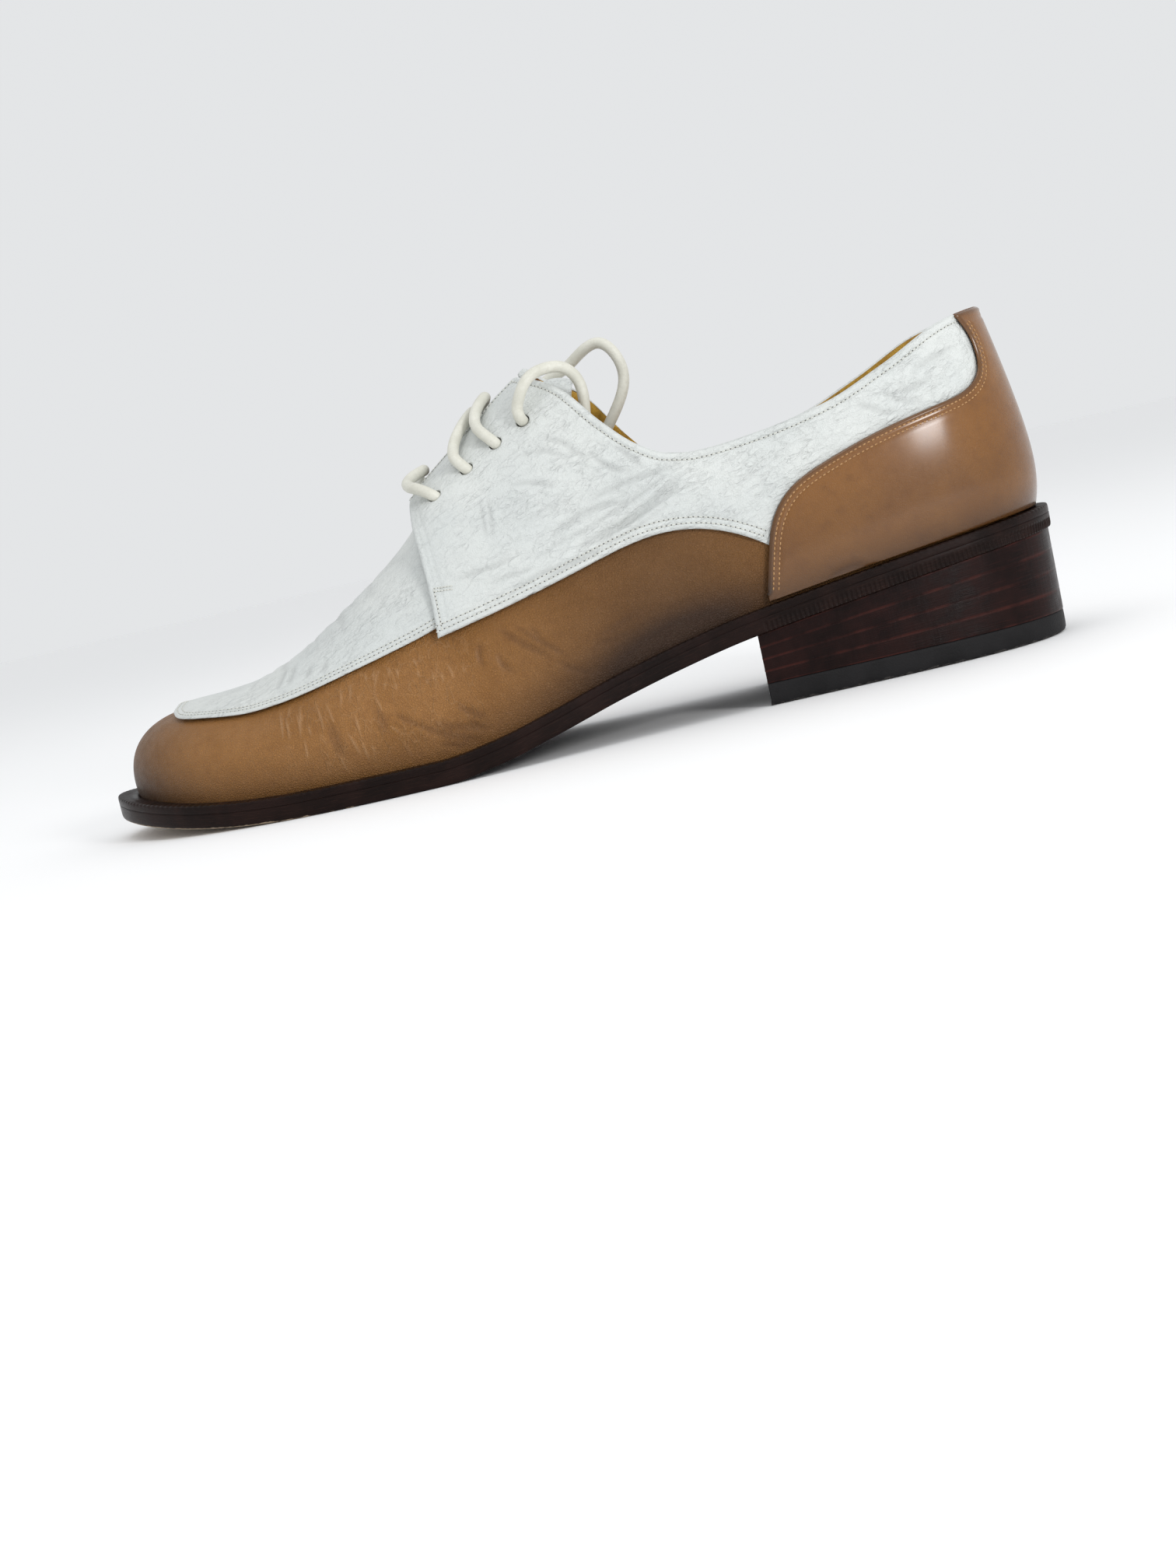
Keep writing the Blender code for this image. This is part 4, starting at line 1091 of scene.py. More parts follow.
# Lining.
# Napped ochre leather inside the upper, sewn to it along the collar and closed under the insole.
LINING_STEP = 4
LINING_ROWS = 26
LINING_INSET = 0.06
lining_turns = np.concatenate([upper_turns[:-1:LINING_STEP], upper_turns[-1:]])
lining_mesh = leather_sheet(cut_line(lining_turns, 0.0), opening_line(lining_turns),
                            np.linspace(0.0, 1.0, LINING_ROWS + 1),
                            lambda turn, climb: (-LEATHER - LINING_INSET, {}))
lining = add_piece("lining", lining_mesh, napped, "ochre_lining", sheet=True)
thicken(lining, WALL - LEATHER - LINING_INSET)

# Apron.
# White milled leather over the toe and the front of the foot, its edge turned under and sewn to the vamp
# with two rows of white thread.
APRON_THICKNESS = 1.2
APRON_GAP = 0.45
APRON_BACK = 168.0
APRON_SPACING = 0.7
APRON_ROWS = 52
# Share of the half width that the apron reaches, by place along the welt seam
Reach = namedtuple("Reach", "along share")
APRON_EDGE = [
    Reach(160.0, 0.83),
    Reach(203.0, 0.81),
    Reach(225.0, 0.77),
    Reach(246.0, 0.69),
    Reach(256.0, 0.64),
    Reach(263.0, 0.53),
    Reach(269.0, 0.41),
    Reach(274.0, 0.36),
]
APRON_CREASES = [
    Crease(231.4, 33.0, 230.4, 34.3, 229.2, 35.4, 0.9, 0.25),
    Crease(221.9, 32.4, 220.5, 35.1, 219.3, 37.0, 1.0, 0.35),
    Crease(218.7, 33.0, 217.2, 35.3, 216.4, 37.8, 1.0, 0.35),
    Crease(212.8, 33.9, 211.7, 36.0, 211.1, 37.2, 0.9, 0.3),
    Crease(208.3, 34.6, 207.2, 36.0, 206.6, 37.5, 0.9, 0.3),
]
# Creases across the front of the foot, each by its place on the ridge and its slant to the sides
CrossCrease = namedtuple("CrossCrease", "along slant reach width depth")
CROSS_CREASES = [
    CrossCrease(190.0, 3.0, 0.5, 1.5, 0.2),
    CrossCrease(197.5, 0.5, 0.4, 1.2, 0.24),
    CrossCrease(204.0, -2.5, 0.62, 1.6, 0.3),
    CrossCrease(211.5, -0.5, 0.48, 1.1, 0.24),
    CrossCrease(219.5, 2.0, 0.66, 1.5, 0.26),
    CrossCrease(226.0, 3.0, 0.38, 1.1, 0.18),
]
# Sideways waves of those creases
WAVE_REACH, WAVE_COUNT, WAVE_SHIFT = 1.6, 4.0, 1.7
apron_share = table(APRON_EDGE, "share")


def cross_paths(creases):
    """Lines over the ridge from the outer to the inner side."""
    paths = []
    for crease in creases:
        sway = np.linspace(-1.0, 1.0, CREASE_POINTS)
        wave = WAVE_REACH * np.sin(sway * WAVE_COUNT + crease.along * WAVE_SHIFT)
        along = crease.along + crease.slant * np.abs(sway) ** 1.5 + wave
        turn = np.where(sway < 0.0, turn_at(along, 1), turn_at(along, -1))
        paths.append(skin(turn, climb_for_share(turn, np.abs(sway) * crease.reach)))
    return paths


def distances(points, line):
    """Distance of each point to the nearest point of a dense line."""
    tree_of_line = KDTree(len(line))
    for index, point in enumerate(line):
        tree_of_line.insert(point, index)
    tree_of_line.balance()
    return np.array([tree_of_line.find(point)[2] for point in points])


LINE_STEP = 0.03


def dense(line, step=LINE_STEP):
    """A line of points with more points put in between, a step apart."""
    length = run_along(line)
    at = np.linspace(0.0, length[-1], int(length[-1] / step) + 2)
    return np.stack([np.interp(at, length, line[:, i]) for i in range(line.shape[1])], -1)


EDGE_ROUND, EDGE_STEEPNESS = 0.9, 0.96
ROLL_HEIGHT, ROLL_PLACE, ROLL_WIDTH = 0.2, 1.1, 0.8
STITCH_PULL, GROOVE_WIDTH = 0.16, 0.5


def turned_edge(distance, drop, stitch_rows):
    """Height of leather near its edge: a rounded shoulder, a low roll, and a groove under each thread."""
    inside = EDGE_STEEPNESS * np.clip(1.0 - distance / EDGE_ROUND, 0.0, 1.0)
    height = -drop * (1.0 - np.sqrt(1.0 - inside ** 2))
    height += ROLL_HEIGHT * np.exp(-((distance - ROLL_PLACE) / ROLL_WIDTH) ** 2)
    for row in stitch_rows:
        height -= STITCH_PULL * np.exp(-((distance - row) / GROOVE_WIDTH) ** 2)
    return height


def edge_rows(count, fine=15, first=0.006, both=True):
    """Shares from 0 to 1 that are close together near the start, or near both ends."""
    start = first * np.arange(fine)
    if not both:
        return np.concatenate([start[:-1], np.linspace(start[-1], 1.0, count - fine + 2)])
    middle = np.linspace(start[-1], 1.0 - start[-1], count - 2 * fine + 3)
    return np.concatenate([start[:-1], middle, 1.0 - start[-2::-1]])


paint = Paint("white_milled_leather", Specular_IOR_Level=0.35, Coat_Weight=0.1, Coat_Roughness=0.35)
drawn = paint.turned(paint.spot, 0.34, (2.0, 1.0, 0.9))
net = paint.use(wrinkle_net, {"Vector": drawn, "Scale": 430.0, "Width": 0.24, "Warp": 0.0022})["Line"]
fine_net = paint.use(wrinkle_net, {"Vector": drawn, "Scale": 900.0, "Width": 0.3, "Warp": 0.001})["Line"]
grain = paint.use(hide_grain, {
    "Vector": paint.spot, "Pebble Scale": 1500.0, "Pore Scale": 5000.0, "Warp": 0.0005})
swell = paint.noise(drawn, 150.0)
lumps = paint.noise(drawn, 420.0, 2.0)
worn = paint.span(paint.noise(paint.spot, 48.0, 2.0), 0.35, 0.65, 0.55, 1.0)
cloud = paint.noise(paint.spot, 40.0)
wrinkle = paint.times(paint.plus(paint.times(net, 0.7), paint.times(fine_net, 0.4)), worn)
paint.base(paint.span(cloud, 0.3, 0.7), (203, 207, 205), (212, 215, 212))
# Painted shade in the fine wrinkles
paint.layer(paint.times(wrinkle, 0.16), (162, 164, 162))
# Painted shade in the troughs of the creases
paint.layer(paint.held(paint.times(paint.mark("fold"), -1.0), 0.3), (158, 160, 158))
height = paint.less(paint.times(grain["Height"], 0.2), wrinkle)
white_hide = paint.finish(paint.plus(height, paint.plus(paint.times(swell, 1.2), lumps)), 0.00036,
                          paint.span(swell, 0.3, 0.7, 0.4, 0.54))


def mottled(name, roughness, first, second, scale, detail, breakup=0.5):
    """A plain material, whose colour and relief follow one noise."""
    plain = Paint(name, Roughness=roughness)
    pattern = plain.noise(plain.spot, scale, detail, breakup)
    plain.base(plain.span(pattern, 0.3, 0.7), first, second)
    return plain.finish(pattern, 0.0001)


thread = mottled("white_thread", 0.6, (190, 191, 184), (218, 219, 212), 3000.0, 2.0)
# Dark discs put at the needle holes beside the stitches: painted shade inside the holes
paint = Paint("needle_holes", Roughness=0.8)
paint.base(paint.noise(paint.spot, 900.0), (74, 72, 68), (120, 117, 112))
needle_hole_shade_paint = paint.finish()

STITCH_PITCH = 1.35
STITCH_SIZE = (0.98, 0.44, 0.34)
STITCH_LIFT = 0.05
NEEDLE_HOLE = (0.42, 0.42, 0.14)
GRAIN_SIDES, GRAIN_RINGS = 8, 5


def surface_of(piece):
    """A finished piece's own surface, for setting things on it."""
    return BVHTree.FromObject(piece, bpy.context.evaluated_depsgraph_get())


def joined_copies(name, size, stands, material, slot):
    """Many small rounded grains of one size in one mesh, each set where its stand says."""
    bm = bmesh.new()
    bmesh.ops.create_uvsphere(bm, u_segments=GRAIN_SIDES, v_segments=GRAIN_RINGS, radius=MM / 2.0,
                              matrix=Matrix.Diagonal((*size, 1.0)))
    places = np.array([(*vert.co, 1.0) for vert in bm.verts])
    faces = [[vert.index for vert in face.verts] for face in bm.faces]
    bm.free()
    copies = np.einsum("nij,kj->nki", np.array(stands)[:, :3], places)
    mesh = bpy.data.meshes.new(name)
    mesh.from_pydata(copies.reshape(-1, 3).tolist(), [], [
        [corner + copy * len(places) for corner in face] for copy in range(len(copies)) for face in faces])
    return show(mesh, material, slot)


def thread_row(surface, line, lift, hand, inset, pitch=STITCH_PITCH):
    """Stands of the stitches and of their needle holes, in a row a distance in from a cut line."""
    edge = leather(line[:, 0], line[:, 1], lift)
    outward = leather_normal(line[:, 0], line[:, 1])
    inward = unit(hand * np.cross(np.gradient(edge, axis=0), outward))
    row = [Vector(point) for point in world(dense(edge + inward * inset, pitch))]
    stands = []
    for start, stop in zip(row[:-1], row[1:]):
        spot, normal, _, _ = surface.find_nearest((start + stop) / 2.0)
        ahead = (stop - start).normalized()
        side = normal.cross(ahead).normalized()
        turned = Matrix((ahead, side, normal)).transposed().to_4x4()
        stands.append((Matrix.Translation(spot + normal * STITCH_LIFT * MM) @ turned,
                       Matrix.Translation(surface.find_nearest(start)[0]) @ turned))
    return stands


def show_stitches(name, stands, material, slot, with_holes=True):
    """Shows the threads of sewn rows, and beside them dark discs painted as the shade in the holes that the
    needle has left.
    """
    stitches, holes = zip(*stands)
    joined_copies(f"{name}_stitches", STITCH_SIZE, stitches, material, slot)
    if with_holes:
        joined_copies(f"{name}_needle_holes", NEEDLE_HOLE, holes, needle_hole_shade_paint, slot)


apron_first = turn_at(APRON_BACK, 1)
apron_shares = spaced_shares(FEATHER_TRACE, APRON_SPACING)
apron_shares = np.concatenate([[apron_first], apron_shares[apron_shares > apron_first + 0.001]])
apron_turns = all_round(apron_shares, apron_shares)
apron_line = cut_line(apron_turns, climb_for_share(
    apron_turns, apron_share(around(FEATHER_TRACE, apron_turns)[:, 0])))
apron_edge = dense(skin(*apron_line.T))
apron_paths = np.concatenate([crease_paths(APRON_CREASES, 1), cross_paths(CROSS_CREASES)])
APRON_STITCHES = (1.3, 2.7)
APRON_DROP = 0.6


def apron_lift(turn, climb):
    points = skin(turn, climb)
    relief, fold = crease_relief(points, apron_paths, APRON_CREASES + CROSS_CREASES)
    rolled = turned_edge(distances(points, apron_edge), APRON_DROP, APRON_STITCHES)
    return APRON_GAP + APRON_THICKNESS + relief + rolled, {"fold": fold}


apron_mesh = leather_sheet(apron_line, cut_line(apron_turns, 1.0), edge_rows(APRON_ROWS, both=False),
                           apron_lift, ("fold",))
apron = add_piece("apron_dressed", apron_mesh, white_hide, "white_leather", "apron", sheet=True)
thicken(apron, APRON_THICKNESS)

apron_surface = surface_of(apron)
sewn = []
for inset in APRON_STITCHES:
    sewn += thread_row(apron_surface, apron_line, APRON_GAP + APRON_THICKNESS, 1, inset)
show_stitches("apron", sewn, thread, "white_leather")

# Quarters.
# White milled leather on both sides, sewn over the vamp and under the counter. At the front they end in the
# lace facings, each with four punched eyelets, whose front edges stand free of the vamp.
QUARTER_THICKNESS = 1.4
QUARTER_COLUMNS = 260
QUARTER_ROWS = 110
FRONT_POINTS = 200
FACING_FRONT = 172.0
FACING_HALF_WIDTH = 2.2
FLAP_RISE = 1.6
FLAP_LIFT = 3.4
FLAP_BACK = 148.0
FLAP_CLIMB = (0.36, 0.75)
RISE_BACK, RISE_FRONT = 98.0, 150.0
UNDER_COUNTER = 1.4
UNDER_COLLAR = 0.1
LEAST_CLIMB = 0.0005
SEAM_DROP, RIM_EDGE_DROP = 0.7, 0.6
EYELET_DIAMETER = 4.0
EYELET_ALONG = (165.4, 156.4, 147.8, 139.4)
OUTER_EYELET_REACH = 15.6
INNER_EYELET_REACH = 12.0
QUARTER_SEAM = [
    Mark(80.6, 41.4),
    Mark(84.6, 44.0),
    Mark(93.0, 48.6),
    Mark(101.0, 51.2),
    Mark(112.0, 52.0),
    Mark(131.0, 48.0),
    Mark(158.0, 41.0),
    Mark(175.0, 37.2),
]
COUNTER_EDGE = [
    Mark(20.2, 91.6),
    Mark(17.8, 86.8),
    Mark(16.6, 80.8),
    Mark(17.4, 75.6),
    Mark(21.4, 71.8),
    Mark(28.6, 69.6),
    Mark(46.0, 66.2),
    Mark(64.0, 60.9),
    Mark(75.0, 55.5),
    Mark(81.0, 48.0),
    Mark(84.0, 39.0),
    Mark(86.0, 31.0),
]
QUARTER_CREASES = [
    Crease(155.1, 71.3, 155.9, 65.2, 156.4, 59.1, 0.6, 0.24),
    Crease(153.3, 71.4, 153.9, 65.4, 154.4, 58.6, 0.6, 0.24),
    Crease(134.0, 52.2, 121.8, 56.0, 101.8, 63.6, 1.1, 0.5),
    Crease(128.7, 53.5, 117.7, 57.5, 101.1, 66.6, 1.0, 0.45),
    Crease(140.3, 57.9, 128.0, 62.0, 116.6, 62.3, 0.9, 0.28),
    Crease(129.5, 63.6, 119.4, 66.7, 100.5, 69.0, 0.9, 0.32),
    Crease(144.4, 79.1, 136.6, 79.8, 129.8, 76.3, 1.0, 0.22),
    Crease(138.2, 84.0, 131.2, 81.1, 125.1, 74.6, 1.0, 0.26),
    Crease(148.4, 72.4, 140.9, 71.9, 134.0, 69.0, 0.9, 0.24),
    Crease(124.5, 77.0, 120.6, 72.3, 114.9, 69.7, 0.9, 0.3),
    Crease(119.2, 78.3, 115.0, 74.8, 110.7, 68.8, 0.9, 0.26),
    Crease(169.0, 50.4, 160.0, 51.9, 149.6, 53.8, 0.9, 0.26),
    Crease(159.5, 48.0, 153.5, 49.1, 144.8, 49.9, 0.8, 0.24),
    Crease(154.6, 44.4, 145.2, 47.9, 133.3, 50.2, 0.8, 0.28),
    Crease(145.7, 45.9, 136.5, 48.8, 123.6, 52.2, 0.9, 0.32),
    Crease(36.4, 79.0, 30.0, 81.4, 21.1, 84.1, 0.9, 0.28),
    Crease(44.0, 74.4, 36.1, 75.1, 28.2, 77.8, 0.9, 0.28),
    Crease(53.3, 75.2, 46.6, 71.2, 42.0, 68.9, 0.9, 0.26),
    Crease(45.2, 77.1, 38.8, 71.9, 32.5, 71.2, 0.9, 0.24),
    Crease(138.0, 54.5, 125.0, 59.0, 108.0, 66.0, 0.6, 0.24),
    Crease(131.0, 50.6, 119.0, 54.2, 104.0, 60.6, 0.6, 0.22),
    Crease(143.0, 56.5, 130.0, 60.5, 113.0, 65.5, 0.6, 0.2),
    Crease(124.0, 58.5, 114.0, 63.0, 104.0, 68.2, 0.6, 0.22),
    Crease(150.0, 60.0, 139.0, 64.5, 126.0, 66.5, 0.6, 0.18),
    Crease(146.0, 52.0, 136.0, 55.6, 126.0, 57.5, 0.6, 0.2),
]
QUARTER_STITCHES = (1.6, 3.2)
COLLAR_STITCH = 2.0
SEAM_START = 84.0
SKIVE, SKIVE_WIDTH = 0.9, 2.4
TACK_HEIGHT = 12.0
TACK_REACH = (1.7, 6.4)
TACK_POINTS = 6
TACK_ROWS = (0.0, 0.9)
TACK_PITCH = 0.95
# Points of the front and top lines that their rows of stitches leave free at the start
FRONT_SKIP, TOP_SKIP = 6, 8


def flap_offset(turn, climb):
    """Rise of a quarter over the apron, and its lift off the vamp towards its free front edge."""
    along = around(FEATHER_TRACE, turn)[..., 0]
    rise = FLAP_RISE * ease(along, RISE_BACK, RISE_FRONT)
    lift = FLAP_LIFT * ease(along, FLAP_BACK, FACING_FRONT) * ease(climb, *FLAP_CLIMB)
    return GAP + rise + lift


def shifted(line, distance):
    """A cut line in side view moved to its left hand by a distance."""
    ahead = np.gradient(line, axis=0)
    return line + distance * unit(np.stack([-ahead[:, 1], ahead[:, 0]], -1))


def at_shares(line, shares):
    """Points of a line at shares of its count of points."""
    index = np.arange(len(line)) / (len(line) - 1)
    return np.stack([np.interp(shares, index, line[:, i]) for i in range(line.shape[1])], -1)


EYELET_SIDES, PUNCH_DEPTH = 28, 24.0


def punch(pieces, places):
    """Punches round eyelets through layers of leather, each given by its turn and climb."""
    bm = bmesh.new()
    radius = EYELET_DIAMETER / 2.0 * MM
    for turn, climb in places:
        middle = Vector(world(skin(turn, climb)))
        outward = Vector(leather_normal(turn, climb))
        stand = Matrix.Translation(middle) @ outward.to_track_quat("Z", "Y").to_matrix().to_4x4()
        bmesh.ops.create_cone(bm, cap_ends=True, segments=EYELET_SIDES, radius1=radius, radius2=radius,
                              depth=PUNCH_DEPTH * MM, matrix=stand)
    cutter = put("eyelet_punch", mesh_of("eyelet_punch", bm))
    for piece in pieces:
        cut = piece.modifiers.new("eyelets", "BOOLEAN")
        cut.operation = "DIFFERENCE"
        cut.object = cutter
        punched = bpy.data.meshes.new_from_object(piece.evaluated_get(bpy.context.evaluated_depsgraph_get()))
        piece.modifiers.clear()
        piece.data = punched
    bpy.data.objects.remove(cutter)


def round_tips(line, radius):
    """Share of its full girth that a cord with rounded ends has at each point of its line."""
    length = run_along(line)
    from_end = np.minimum(length, length[-1] - length)
    return np.sqrt(1.0 - np.clip(1.0 - from_end / radius, 0.0, 1.0) ** 2)


RIM_HEIGHT = 0.75
RIM_INNER = -0.7
RIM_DROP = 0.25
RIM_SIDES = 12
RIM_SKIP = 3
RIM_ROUND = 1.0
RIM_FRONT = 138.0


def rolled_rim(line, inner, outer):
    """A folded rim along a cut line, from an inner to an outer height over the skin, with rounded ends."""
    turn, climb = line.T
    middle = leather(turn, climb, (inner + outer) / 2.0)
    outward = leather_normal(turn, climb)
    upward = np.cross(outward, np.gradient(middle, axis=0))
    upward = np.sign(upward[:, 2:]) * unit(upward)
    tip = round_tips(middle, RIM_ROUND)

    def shape(across, up):
        i = nearest_index(across, middle)
        angle = up[:, None] * 2.0 * np.pi
        wide = outward[i] * np.cos(angle) * (tip * (outer - inner) / 2.0)[i, None]
        tall = upward[i] * np.sin(angle) * (tip * RIM_HEIGHT)[i, None]
        return {"place": middle[i] - upward[i] * RIM_HEIGHT / 2.0 + wide + tall, "fold": np.zeros_like(up)}

    return mapped_grid(bmesh.new(), len(middle) - 1, RIM_SIDES, shape, ("fold",))


BACK_EDGE_OVER = 4.0
SEAM_SHARE = 1.2
COUNTER_POINTS = curve_through(COUNTER_EDGE, 120)
back_edge = shifted(COUNTER_POINTS, -UNDER_COUNTER)
back_edge = back_edge[COUNTER_POINTS[:, 1] > QUARTER_SEAM[0].height + BACK_EDGE_OVER]
back_edge[:, 1] = np.minimum(back_edge[:, 1], collar_height(back_edge[:, 0]) - UNDER_COLLAR)
seam_points = curve_through(QUARTER_SEAM, round(len(back_edge) * SEAM_SHARE))
quarter_shares = edge_rows(QUARTER_COLUMNS, first=0.002)
eyelets = {}
for side, name, eyelet_reach in ((1, "quarter_outer", OUTER_EYELET_REACH),
                                 (-1, "quarter_inner", INNER_EYELET_REACH)):
    lower = at_shares(locate(np.vstack([back_edge, seam_points]), side), quarter_shares)
    top_turns = lower[0, 0] + (turn_at(FACING_FRONT, side) - lower[0, 0]) * quarter_shares
    top_line = opening_line(top_turns, SHOE_LENGTH, FACING_HALF_WIDTH)
    top_line[:, 1] = np.maximum(top_line[:, 1], lower[:, 1] + LEAST_CLIMB)
    front_line = np.linspace(lower[-1], top_line[-1], FRONT_POINTS)
    seam_line = locate(seam_points[seam_points[:, 0] > SEAM_START], side)
    sewn_edge = np.vstack([dense(skin(*seam_line.T)), dense(skin(*front_line.T))])
    rim_edge = dense(skin(*top_line.T))
    hidden = np.vstack([back_edge, seam_points[seam_points[:, 0] < SEAM_START]])
    hidden_edge = dense(skin(*locate(hidden, side).T))
    paths = crease_paths(QUARTER_CREASES, side)

    def quarter_lift(turn, climb):
        points = skin(turn, climb)
        relief, fold = crease_relief(points, paths, QUARTER_CREASES)
        rolled = turned_edge(distances(points, sewn_edge), SEAM_DROP, QUARTER_STITCHES)
        rolled += turned_edge(distances(points, rim_edge), RIM_EDGE_DROP, (COLLAR_STITCH,))
        skived = SKIVE * np.exp(-(distances(points, hidden_edge) / SKIVE_WIDTH) ** 2)
        return flap_offset(turn, climb) + QUARTER_THICKNESS + relief + rolled - skived, {"fold": fold}

    quarter_mesh = leather_sheet(lower, top_line, edge_rows(QUARTER_ROWS), quarter_lift, ("fold",))
    quarter = add_piece(f"{name}_dressed", quarter_mesh, white_hide, "white_leather", name, sheet=True)
    thicken(quarter, QUARTER_THICKNESS)

    surface = surface_of(quarter)
    front_points = skin(*front_line.T)
    tack_top = int(np.argmax(front_points[:, 2] > front_points[0, 2] + TACK_HEIGHT))
    tack_reaches = np.linspace(*TACK_REACH, TACK_POINTS)
    tack_line = locate(front_points[tack_top, ::2] - cut_line(tack_reaches, 0.0), side)
    sewn = []

    def sew(line, hand, inset, pitch=STITCH_PITCH):
        lift = flap_offset(line[:, 0], line[:, 1]) + QUARTER_THICKNESS
        sewn.extend(thread_row(surface, line, lift, hand, inset, pitch))

    for inset in QUARTER_STITCHES:
        sew(seam_line, side, inset)
    sew(front_line[FRONT_SKIP:tack_top], side, QUARTER_STITCHES[0])
    for inset in TACK_ROWS:
        sew(tack_line, side, inset, TACK_PITCH)
    sew(top_line[TOP_SKIP:], -side, COLLAR_STITCH)
    show_stitches(name, sewn, thread, "white_leather")

    rim_turns = np.linspace(top_turns[RIM_SKIP], turn_at(RIM_FRONT, side), QUARTER_COLUMNS)
    rim = cut_line(rim_turns, collar_climb(rim_turns))
    rim_mesh = rolled_rim(rim, RIM_INNER, flap_offset(rim[:, 0], rim[:, 1]) + QUARTER_THICKNESS - RIM_DROP)
    add_piece(f"{name}_rim", rim_mesh, white_hide, "white_leather")

    rows = turn_at(np.array(EYELET_ALONG), side)
    reach = np.abs(around(FEATHER_TRACE, rows)[:, 1] - ridge(np.array(EYELET_ALONG)))
    eyelets[side] = cut_line(rows, climb_for_share(rows, eyelet_reach / reach))
    punch([quarter], eyelets[side])
punch([upper, lining], np.vstack([eyelets[1], eyelets[-1]]))

# Counter.
# Tan calf moulded round the heel, with a tab up to the back of the collar, polished brighter than the vamp.
# Its edge is skived, turned under and sewn over the quarters with two rows of pale thread.
COUNTER_THICKNESS = 1.6
COUNTER_GAP = 0.7
COUNTER_FOOT = 1.3
COUNTER_ROWS = 66
RIM_POINTS = 36
RIM_CLEAR = 4
COUNTER_DROP = 0.7
# Share of the tab's half width that its columns of the mesh have at the foot
FOOT_SHARE = 0.7
# Shares of the darkening: a real dark finish along the edge, and painted shade on the lower half and near the
# welt
DARK_EDGE, DARK_LOW, DARK_FOOT = 0.45, 0.24, 0.4
EDGE_BAND, LOWER_HALF, FOOT_BAND = (2.0, 0.6), (30.0, 12.0), (10.0, 0.5)
COUNTER_STITCHES = (1.5, 3.0)
COUNTER_CREASES = [
    Crease(70.2, 30.1, 64.0, 32.3, 58.1, 33.1, 1.1, 0.25),
    Crease(65.6, 29.7, 59.9, 31.4, 53.6, 31.3, 1.1, 0.22),
]

paint = Paint("polished_tan_calf", Specular_IOR_Level=0.2, Coat_Weight=0.7, Coat_Roughness=0.17)
grain = paint.use(hide_grain, {
    "Vector": paint.spot, "Pebble Scale": 1700.0, "Pore Scale": 6000.0, "Warp": 0.0004})
net = paint.use(wrinkle_net, {"Vector": paint.spot, "Scale": 640.0, "Width": 0.08, "Warp": 0.001})["Line"]
cloud = paint.noise(paint.spot, 50.0, 4.0, 0.6)
mottle = paint.noise(paint.spot, 260.0, 4.0, 0.6)
paint.base(paint.span(cloud, 0.3, 0.7), (116, 72, 20), (128, 82, 26))
paint.layer(paint.span(mottle, 0.45, 0.75, 0.0, 0.35), (100, 60, 18))
paint.layer(paint.times(grain["Groove"], 0.15), (96, 64, 38))
# Painted shade in the troughs of the creases
paint.layer(paint.held(paint.times(paint.mark("fold"), -1.0), 0.4), (74, 48, 30))
# Darkening of the mark: a real dark band along the edge, and painted shade on the lower half and near the
# welt
paint.layer(paint.mark("burnish"), (50, 31, 16))
polished_calf = paint.finish(paint.less(paint.times(grain["Height"], 0.4), paint.times(net, 0.3)), 0.00012,
                             paint.span(mottle, 0.3, 0.75, 0.34, 0.46))
dark_rim = mottled("dark_rim_calf", 0.5, (84, 54, 34), (122, 82, 50), 500.0, 4.0, 0.6)
tan_thread = mottled("tan_thread", 0.6, (150, 108, 66), (186, 146, 98), 3000.0, 2.0)

narrowest = int(COUNTER_POINTS[:, 0].argmin())
counter_lines = []
for side in (1, -1):
    edge = locate(COUNTER_POINTS, side)
    edge[:, 0] = np.abs(edge[:, 0] - (0.0 if side > 0 else 2.0))
    rim_turns = np.linspace(0.0, edge[0, 0], RIM_POINTS + 1)[:-1]
    rim = cut_line(rim_turns, climb_for_height(rim_turns * side, collar_height))
    top_line = np.vstack([rim, edge])
    column = np.arange(len(top_line))
    low_turns = np.interp(column, [0, RIM_POINTS + narrowest, column[-1]],
                          [0.0, edge[narrowest, 0] * FOOT_SHARE, edge[-1, 0]])
    low_climbs = climb_for_height(low_turns * side, lambda at: seat(at) + WELT_THICKNESS + COUNTER_FOOT)
    both_lines = np.stack([cut_line(low_turns, low_climbs), top_line]) * (side, 1.0)
    counter_lines.append(both_lines if side > 0 else both_lines[:, :0:-1])
counter_low, counter_top = np.concatenate(counter_lines[::-1], axis=1)
counter_edge = dense(skin(*counter_top.T))
counter_paths = crease_paths(COUNTER_CREASES, 1)


def counter_lift(turn, climb):
    points = skin(turn, climb)
    relief, fold = crease_relief(points, counter_paths, COUNTER_CREASES)
    from_edge = distances(points, counter_edge)
    height = over_welt(points)
    # A real dark band along the edge, and painted shade on the lower half and near the welt
    burnish = DARK_EDGE * ease(from_edge, *EDGE_BAND) + DARK_LOW * ease(height, *LOWER_HALF)
    burnish += DARK_FOOT * ease(height, *FOOT_BAND)
    rolled = turned_edge(from_edge, COUNTER_DROP, COUNTER_STITCHES)
    return (COUNTER_GAP + COUNTER_THICKNESS + relief + rolled,
            {"fold": fold, "burnish": np.clip(burnish, 0.0, 1.0), "flex": np.zeros_like(fold)})


counter_mesh = leather_sheet(counter_low, counter_top, edge_rows(COUNTER_ROWS), counter_lift,
                             ("fold", "burnish", "flex"), lean=3)
counter = add_piece("counter_dressed", counter_mesh, polished_calf, "tan_leather", "counter", sheet=True)
thicken(counter, COUNTER_THICKNESS)

tab_rim = counter_top[np.abs(np.arange(len(counter_top)) - len(counter_top) // 2) < RIM_POINTS]
rim_mesh = rolled_rim(tab_rim, RIM_INNER, np.full(len(tab_rim), COUNTER_GAP + COUNTER_THICKNESS - RIM_DROP))
add_piece("tab_rim", rim_mesh, dark_rim, "tan_leather")

